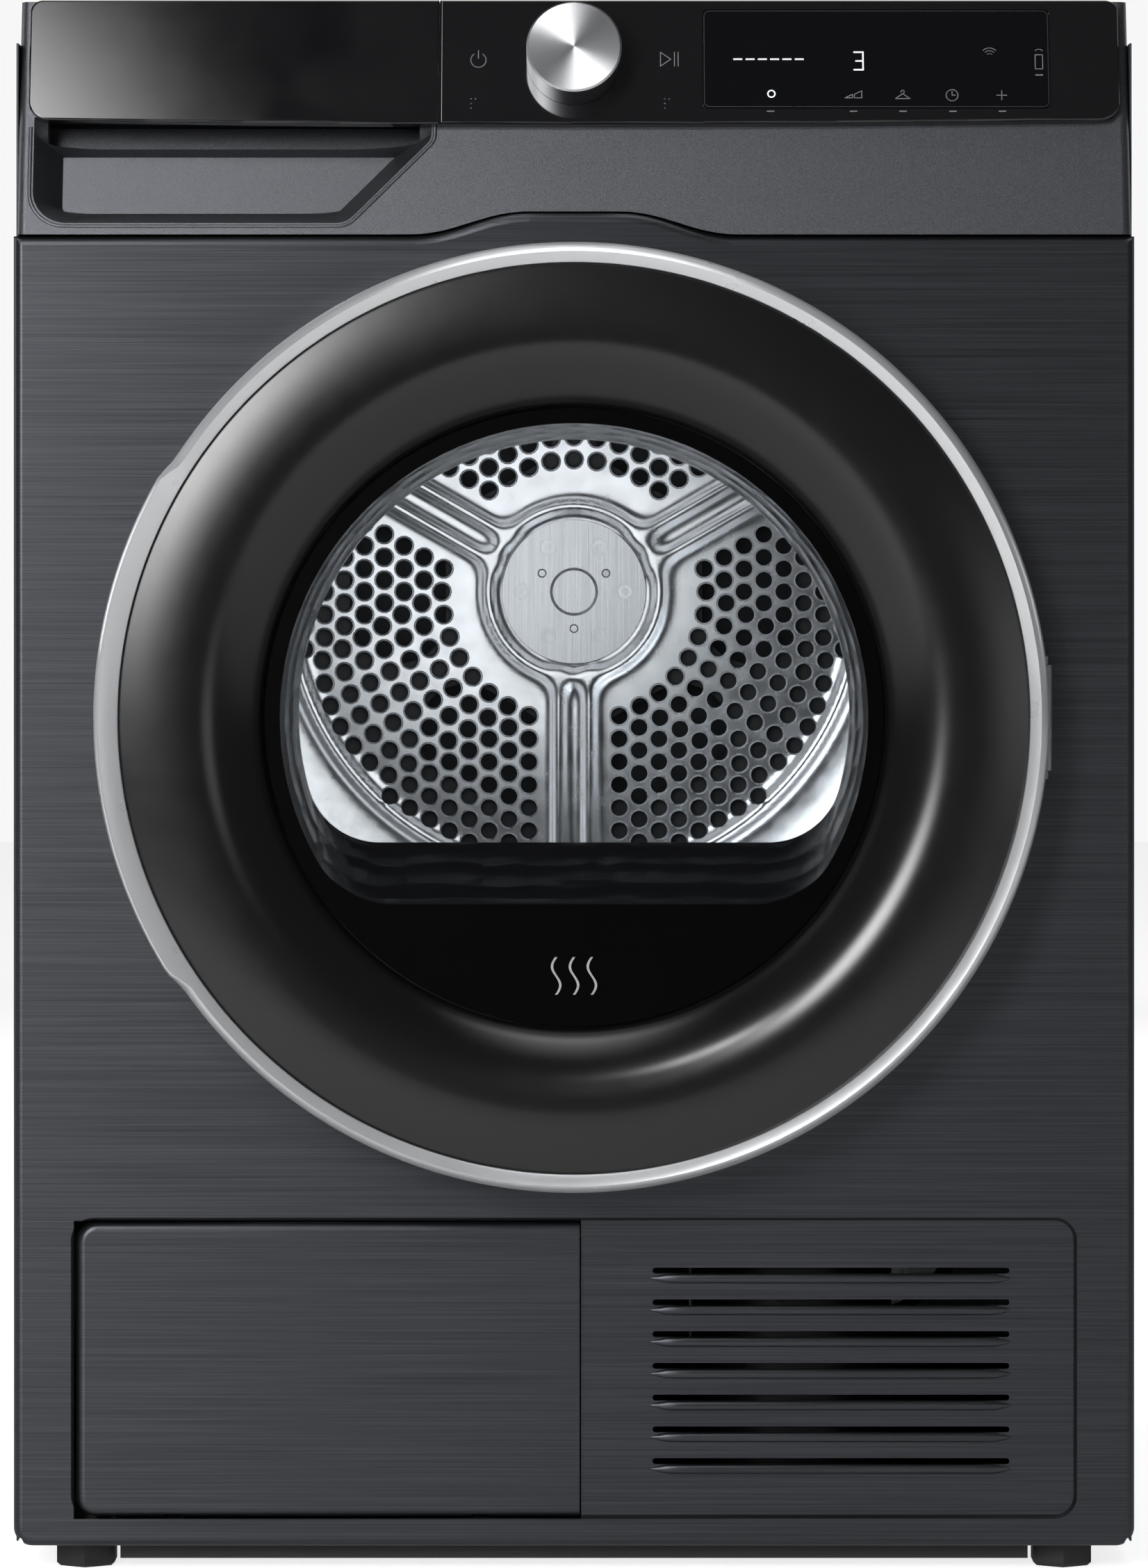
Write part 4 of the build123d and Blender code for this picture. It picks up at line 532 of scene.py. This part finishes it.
def clear_glass(name, tint, gloss_edge):
    """Thin clear glass: mostly transparent, with a sharp reflection that grows towards the rim."""
    made = bpy.data.materials.new(name)
    made.use_nodes = True
    tree = made.node_tree
    shader = tree.nodes["Principled BSDF"]
    shader.inputs["Base Color"].default_value = (0.01, 0.01, 0.01, 1)
    shader.inputs["Roughness"].default_value = 0.03
    through = tree.nodes.new("ShaderNodeBsdfTransparent")
    through.inputs["Color"].default_value = (*tint, 1)
    facing = tree.nodes.new("ShaderNodeFresnel")
    facing.inputs["IOR"].default_value = gloss_edge
    both = tree.nodes.new("ShaderNodeMixShader")
    tree.links.new(facing.outputs["Fac"], both.inputs["Fac"])
    tree.links.new(through.outputs["BSDF"], both.inputs[1])
    tree.links.new(shader.outputs["BSDF"], both.inputs[2])
    tree.links.new(both.outputs["Shader"], tree.nodes["Material Output"].inputs["Surface"])
    return made, shader, both


window_glass, shader, mixed = clear_glass("window_glass", (0.93, 0.94, 0.95), 1.35)
dress(window_glass, "door_window")
bowl_glass, shader, mixed = clear_glass("bowl_glass", (0.95, 0.96, 0.96), 1.3)
tree = bowl_glass.node_tree
place = tree.nodes.new("ShaderNodeTexCoord")
axes = tree.nodes.new("ShaderNodeSeparateXYZ")
wall = tree.nodes.new("ShaderNodeMath")
wall.operation = "LESS_THAN"
wall.inputs[1].default_value = bowl_rear
tiles = tree.nodes.new("ShaderNodeTexVoronoi")
tiles.inputs["Scale"].default_value = 48
tiles.inputs["Randomness"].default_value = 0.35
tile_bump = tree.nodes.new("ShaderNodeBump")
tile_bump.inputs["Strength"].default_value = 0.55
tile_bump.inputs["Distance"].default_value = 0.002
wall_shader = tree.nodes.new("ShaderNodeBsdfPrincipled")
wall_shader.inputs["Base Color"].default_value = (0.012, 0.012, 0.013, 1)
wall_shader.inputs["Roughness"].default_value = 0.14
choose = tree.nodes.new("ShaderNodeMixShader")
tree.links.new(place.outputs["Object"], axes.inputs["Vector"])
tree.links.new(axes.outputs["Y"], wall.inputs[0])
tree.links.new(place.outputs["Object"], tiles.inputs["Vector"])
tree.links.new(tiles.outputs["Distance"], tile_bump.inputs["Height"])
tree.links.new(tile_bump.outputs["Normal"], wall_shader.inputs["Normal"])
tree.links.new(wall.outputs["Value"], choose.inputs["Fac"])
tree.links.new(mixed.outputs["Shader"], choose.inputs[1])
tree.links.new(wall_shader.outputs["BSDF"], choose.inputs[2])
tree.links.new(choose.outputs["Shader"], tree.nodes["Material Output"].inputs["Surface"])
dress(bowl_glass, "door_bowl")


def d_outline(radius, floor_z, corner, count):
    """Round outline cut flat at floor_z with rounded corners, as points by angle round the middle."""
    outline = []
    reach = radius - corner
    corner_z = floor_z + corner
    corner_x = math.sqrt(max(reach * reach - (corner_z - door_centre_z) ** 2, 0))
    start = math.atan2(corner_z - door_centre_z, corner_x)
    for step in range(count + 1):
        angle = start + (math.pi - 2 * start) * step / count
        outline.append((radius * math.cos(angle), door_centre_z + radius * math.sin(angle)))
    for step in range(1, 13):
        angle = math.pi - start + (math.pi / 2 + start) * step / 12
        outline.append((-corner_x + corner * math.cos(angle), corner_z + corner * math.sin(angle)))
    for step in range(1, 24):
        outline.append((corner_x * (step / 12 - 1), floor_z))
    for step in range(12):
        angle = -math.pi / 2 + (math.pi / 2 + start) * step / 12
        outline.append((corner_x + corner * math.cos(angle), corner_z + corner * math.sin(angle)))
    return outline


inner = d_outline(print_inner, print_floor, print_corner, 72)
points = [(x, print_plane, z) for x, z in inner]
for x, z in inner:
    toward = Vector((x, z - door_centre_z)).normalized() * print_outer
    points.append((toward.x, print_plane, door_centre_z + toward.y))
count = len(inner)
faces = [(side, side + count, (side + 1) % count + count, (side + 1) % count) for side in range(count)]
print_black, shader = new_finish("print_black", (0.001, 0.001, 0.001), 0.0, 0.3)
shader.inputs["Specular IOR Level"].default_value = 0.05
grain(print_black, shader, (80, 80, 80), 0.015, 0.0)
piece("window_print", points, faces, print_black, "door")

# Heat mark: three printed waves on the black part of the pane, the common sign for warm air.
wave_length = 0.020
wave_height = 0.0022
wave_line = 0.0013
waves_low = 0.3105
mark_points = []
mark_faces = []
for wave in range(3):
    middle = (wave - 1) * 0.0095
    for step in range(21):
        up = wave_length * step / 20
        sway = wave_height * math.sin(2 * math.pi * step / 20)
        first = len(mark_points)
        mark_points.append((middle + sway - wave_line / 2, print_plane - 0.0001, waves_low + up))
        mark_points.append((middle + sway + wave_line / 2, print_plane - 0.0001, waves_low + up))
        if step:
            mark_faces.append((first - 2, first - 1, first + 1, first))
print_grey, shader = new_finish("print_grey", (0.42, 0.43, 0.44), 0.0, 0.4)
grain(print_grey, shader, (400, 400, 400), 0.05, 0.05)
piece("window_heat_mark", mark_points, mark_faces, print_grey, "door")

# Door ring: zinc trim turned round the door, satin plated, with a sharp ridge between its outer and
# inner bevels. On the left the ridge runs out into one wide bevel, where the hand pulls the door.
ring_steps = 288
grip_from = 148.5
grip_to = 213.5
grip_ease = 3.5
ring_back = -0.2818
hinge_cut = -0.3062
hinge_reach = 0.0425
satin_plate, shader = new_finish("satin_plate", (0.74, 0.75, 0.77), 0.6, 0.3)
grain(satin_plate, shader, (40, 40, 40), 0.03, 0.0)
ring_points = []
ring_faces = []
for step in range(ring_steps):
    angle = 360 * step / ring_steps
    rise = min(max((angle - grip_from) / grip_ease + 0.5, 0), 1)
    fall = min(max((grip_to - angle) / grip_ease + 0.5, 0), 1)
    grip = min(rise, fall)
    grip = grip * grip * (3 - 2 * grip)
    swell = 0.5 + 0.5 * math.cos(math.radians(angle - 100))
    outer = 0.2512 + 0.0008 * swell + grip * 0.0024
    ridge = 0.2468 + grip * 0.0052
    upright = abs(math.sin(math.radians(angle)) * outer)
    cut = upright < hinge_reach and math.cos(math.radians(angle)) > 0
    back = hinge_cut if cut else ring_back
    profile = [
        (back, outer),
        (-0.3085, outer + 0.0003),
        (-0.3150, outer - 0.0002),
        (-0.3190, (outer + ridge) / 2 + 0.0008),
        (-0.3218, ridge + 0.0008),
        (-0.3225, ridge),
        (-0.3220, ridge - 0.0010),
        (-0.3197, 0.2420),
        (-0.3190, 0.2412),
        (-0.3160, 0.2411),
        (-0.3150, 0.2440),
        (-0.3080, 0.2478),
        (back, outer - 0.0024),
    ]
    for depth, radius in profile:
        x = radius * math.cos(math.radians(angle))
        ring_points.append((x, depth, door_centre_z + radius * math.sin(math.radians(angle))))
    size = len(profile)
    following = (step + 1) % ring_steps
    for side in range(size):
        other = (side + 1) % size
        here = step * size
        there = following * size
        ring_faces.append((here + side, here + other, there + other, there + side))
ring = piece("door_ring_trim", ring_points, ring_faces, satin_plate, "door", 28)
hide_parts("door_ring")

# Door cover: smoked gloss moulding between the ring and the window. It swells forward inside the
# ring and then dishes in to the pane, so it catches light on its outer and on its inner slope.
cover_profile = [
    (-0.3158, 0.2414),
    (-0.3170, 0.2340),
    (-0.3180, 0.2260),
    (-0.3187, 0.2180),
    (-0.3191, 0.2100),
    (-0.3190, 0.2020),
    (-0.3177, 0.1940),
    (-0.3145, 0.1865),
    (-0.3102, 0.1800),
    (-0.3050, 0.1735),
    (-0.3000, 0.1680),
    (-0.2962, 0.1654),
    (-0.2935, 0.1654),
    (-0.2960, 0.1720),
    (-0.3110, 0.2100),
    (-0.3140, 0.2400),
]


def turned(profile, steps):
    """Points and faces of a closed profile, given as depth and radius, turned round the door's axis."""
    points = []
    faces = []
    size = len(profile)
    for step in range(steps):
        angle = 2 * math.pi * step / steps
        for depth, radius in profile:
            points.append((radius * math.cos(angle), depth, door_centre_z + radius * math.sin(angle)))
        following = (step + 1) % steps
        for side in range(size):
            other = (side + 1) % size
            here = step * size
            there = following * size
            faces.append((here + side, here + other, there + other, there + side))
    return points, faces


smoked, shader = new_finish("smoked_cover", (0.004, 0.0042, 0.0046), 0.0, 0.22)
shader.inputs["Specular IOR Level"].default_value = 0.6
grain(smoked, shader, (90, 90, 90), 0.01, 0.0)
cover_points, cover_faces = turned(cover_profile, 240)
cover = piece("door_cover_moulding", cover_points, cover_faces, smoked, "door", 40)
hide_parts("door_cover")

# Knob: aluminium, spun on its face and polished on its side. The turning marks run round the axis,
# so highlights fan out from the middle.
knob_tilt = math.radians(15)
console_foot = Vector((0, -0.2775, 0.716))
console_up = Vector((0, math.sin(knob_tilt), math.cos(knob_tilt)))
console_out = Vector((0, -math.cos(knob_tilt), math.sin(knob_tilt)))
knob_centre = console_foot + 0.0965 * console_up
spun, shader = new_finish("spun_aluminium", (0.66, 0.67, 0.69), 1.0, 0.3)
shader.inputs["Anisotropic"].default_value = 0.85
tree = spun.node_tree
place = tree.nodes.new("ShaderNodeTexCoord")
offset = tree.nodes.new("ShaderNodeVectorMath")
offset.operation = "SUBTRACT"
offset.inputs[1].default_value = knob_centre
around = tree.nodes.new("ShaderNodeVectorMath")
around.operation = "CROSS_PRODUCT"
around.inputs[1].default_value = console_out
along = tree.nodes.new("ShaderNodeVectorMath")
along.operation = "NORMALIZE"
distance = tree.nodes.new("ShaderNodeVectorMath")
distance.operation = "LENGTH"
rings = tree.nodes.new("ShaderNodeTexNoise")
rings.noise_dimensions = "1D"
rings.inputs["Scale"].default_value = 2600
rings.inputs["Detail"].default_value = 3
ring_bump = tree.nodes.new("ShaderNodeBump")
ring_bump.inputs["Strength"].default_value = 0.12
ring_bump.inputs["Distance"].default_value = 0.0001
tree.links.new(place.outputs["Object"], offset.inputs[0])
tree.links.new(offset.outputs["Vector"], around.inputs[0])
tree.links.new(around.outputs["Vector"], along.inputs[0])
tree.links.new(along.outputs["Vector"], shader.inputs["Tangent"])
tree.links.new(around.outputs["Vector"], distance.inputs[0])
tree.links.new(distance.outputs["Value"], rings.inputs["W"])
tree.links.new(rings.outputs["Fac"], ring_bump.inputs["Height"])
tree.links.new(ring_bump.outputs["Normal"], shader.inputs["Normal"])
dress(spun, "knob")

# Console details: printed and lit signs on the cap and the lens, drawn as thin flat strips in the
# plane of the cap. Names and words are left out; dashes and one plain digit stand in the display.
cap_offset = 0.0062
sign_line = 0.00045
bold_line = 0.0008


def on_console(x, up, out):
    """A point of the tilted console plane, from millimetres across and up and metres out."""
    return console_foot + Vector((x / 1000, 0, 0)) + up / 1000 * console_up + out * console_out


def strokes(name, lines, width, made):
    """Flat strips along lines given in millimetres on the console's face."""
    points = []
    faces = []
    for line in lines:
        for start, end in zip(line, line[1:]):
            first = on_console(*start, cap_offset)
            last = on_console(*end, cap_offset)
            along = (last - first).normalized()
            across = along.cross(console_out) * width / 2
            first = first - along * width * 0.4
            last = last + along * width * 0.4
            base = len(points)
            points.extend([first - across, last - across, last + across, first + across])
            faces.append((base + 3, base + 2, base + 1, base))
    signs = piece(name, points, faces, made, "cabinet")
    for face in signs.data.polygons:
        if face.normal.dot(console_out) < 0:
            face.flip()
    return signs


def arc(x, up, radius, start, end, steps=20):
    """Points along an arc in the console plane, in millimetres and degrees."""
    angles = [math.radians(start + (end - start) * step / steps) for step in range(steps + 1)]
    return [(x + radius * math.cos(angle), up + radius * math.sin(angle)) for angle in angles]


lit_white, shader = new_finish("lit_white", (0.9, 0.92, 0.95), 0.0, 0.4)
shader.inputs["Emission Color"].default_value = (0.9, 0.95, 1, 1)
shader.inputs["Emission Strength"].default_value = 0.55
grain(lit_white, shader, (500, 500, 500), 0.05, 0.0)
sign_grey, shader = new_finish("sign_grey", (0.2, 0.2, 0.21), 0.0, 0.5)
grain(sign_grey, shader, (500, 500, 500), 0.05, 0.0)
programme_dashes = [[(86 + 6.6 * step, 97), (90.2 + 6.6 * step, 97)] for step in range(6)]
digit = [
    [(150.6, 101), (155.4, 101), (155.4, 96), (155.4, 91), (150.6, 91)],
    [(151.6, 96), (155.4, 96)],
]
strokes("display_lit", programme_dashes + digit, bold_line, lit_white)
strokes("display_lit_ring", [arc(106, 77.3, 1.9, 0, 360)], bold_line * 0.8, lit_white)
power_sign = [arc(-51.4, 96.5, 4.1, 125, 415), [(-51.4, 97.5), (-51.4, 102)]]
start_sign = [
    [(46.5, 93), (46.5, 101), (52, 97), (46.5, 93)],
    [(54, 93), (54, 101)],
    [(56, 93), (56, 101)],
]
touch_dots = []
for left in (-55.4, 48.6):
    for x, up in ((left, 74.4), (left + 2.4, 74.4), (left, 71.8), (left, 69.2)):
        touch_dots.append([(x, up), (x + 0.3, up)])
level_sign = [
    [(145.5, 75), (149.5, 75), (149.5, 77), (145.5, 75)],
    [(150.5, 75), (154.5, 75), (154.5, 79), (150.5, 77), (150.5, 75)],
]
hanger_sign = [
    [(172.6, 74.6), (180.4, 74.6), (176.5, 77.4), (172.6, 74.6)],
    arc(176.5, 78.4, 0.9, -90, 180, 10),
]
clock_sign = [arc(203, 76.5, 3.2, 0, 360), [(203, 78.6), (203, 76.5), (204.8, 76.5)]]
plus_sign = [[(229.7, 73.8), (229.7, 79.2)], [(227, 76.5), (232.4, 76.5)]]
signal_sign = [arc(223.5, 98.6, radius, 45, 135, 10) for radius in (1.6, 3.2, 4.8)]
remote_sign = [
    [(248, 91.5), (252, 91.5), (252, 99.5), (248, 99.5), (248, 91.5)],
    arc(250, 99.6, 3, 50, 130, 8),
]
printed = power_sign + start_sign + touch_dots + level_sign
printed += hanger_sign + clock_sign + plus_sign + signal_sign + remote_sign
strokes("console_signs", printed, sign_line, sign_grey)
touch_bars = [[(x - 1.7, 67.4), (x + 1.7, 67.4)] for x in (105.5, 150, 176.6, 203.3, 229.9)]
strokes("console_touch_bars", touch_bars + [[(248.2, 88), (251.8, 88)]], 0.0007, sign_grey)
lens_frame = arc(73, 121.5, 3, 180, 90, 6) + arc(252, 121.5, 3, 90, 0, 6) + arc(252, 73, 3, 0, -90, 6)
lens_frame += arc(73, 73, 3, -90, -180, 6) + [(70, 121.5)]
lens_edge, shader = new_finish("lens_edge", (0.03, 0.03, 0.032), 0.0, 0.3)
grain(lens_edge, shader, (500, 500, 500), 0.05, 0.0)
strokes("display_frame", [lens_frame], 0.0004, lens_edge)

# Scoop border: a raised bead that runs round the finger scoop under the drawer front.
bead_half_width = 0.0011
bead_rise = 0.0007
bead_corners = [(-291.8, 60.5), (-291.8, 4.6), (-121.2, 4.6), (-74.6, 53.0), (-74.6, 60.5)]
bead_radii = [0, 19, 13, 9, 0]


def rounded_path(corners, radii):
    """A line through corners, each cut by an arc of its radius."""
    path = []
    for index, (corner, radius) in enumerate(zip(corners, radii)):
        here = Vector(corner)
        if not radius:
            path.append(here)
            continue
        back = (Vector(corners[index - 1]) - here).normalized()
        ahead = (Vector(corners[index + 1]) - here).normalized()
        half = back.angle(ahead) / 2
        reach = radius / math.tan(half)
        middle = here + (back + ahead).normalized() * radius / math.sin(half)
        first = here + back * reach - middle
        turn = first.angle_signed(here + ahead * reach - middle)
        for step in range(9):
            path.append(middle + Matrix.Rotation(-turn * step / 8, 2) @ first)
    return path


bead_path = rounded_path(bead_corners, bead_radii)
bead_points = []
bead_faces = []
for index, place in enumerate(bead_path):
    before = bead_path[max(index - 1, 0)]
    after = bead_path[min(index + 1, len(bead_path) - 1)]
    side = (after - before).normalized().orthogonal() * bead_half_width * 1000
    for step in range(7):
        angle = math.pi * step / 6
        out = bead_rise * math.sin(angle) - 0.00005
        bead_points.append(on_console(*(place + side * math.cos(angle)), out))
    if index:
        for step in range(6):
            here = index * 7 + step
            bead_faces.append((here - 7, here - 6, here + 1, here))
scoop_bead = piece("scoop_bead", bead_points, bead_faces, console_lacquer, "cabinet")
if scoop_bead.data.polygons[3].normal.dot(console_out) < 0:
    scoop_bead.data.flip_normals()

# Louvre lips: below each slot of the front panel the sheet is pressed out into a rounded lip.
lip_length = 0.1925
lip_height = 0.0052
lip_rise = 0.0024
lip_steps = 24
lip_middle = 0.1375
lip_pitch = 0.017
lip_count = 7
recess_depth = 0.0030
first_lip = 0.0594 - 0.0016 - lip_height / 2
lip_points = []
lip_faces = []
for step in range(lip_steps + 1):
    along = -1 + 2 * step / lip_steps
    end = max(1 - abs(along) ** 24, 0.02)
    for side in range(9):
        angle = math.pi * side / 8
        up = lip_height / 2 * math.cos(angle) * end ** 0.4
        lip_points.append((along * lip_length / 2, -lip_rise * math.sin(angle) ** 0.8 * end, up))
    if step:
        for side in range(8):
            here = step * 9 + side
            lip_faces.append((here - 9, here, here + 1, here - 8))
lip = bpy.data.meshes.new("lip")
lip.from_pydata(lip_points, [], lip_faces)
if lip.polygons[4].normal.y > 0:
    lip.flip_normals()
lip_plane = front_plane + recess_depth
lip_places = [(lip_middle, lip_plane, first_lip + lip_pitch * row) for row in range(lip_count)]
lips = repeat_on("louvre_lips", lip_places, lip, brushed_front, 1.0)
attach(lips, "cabinet")
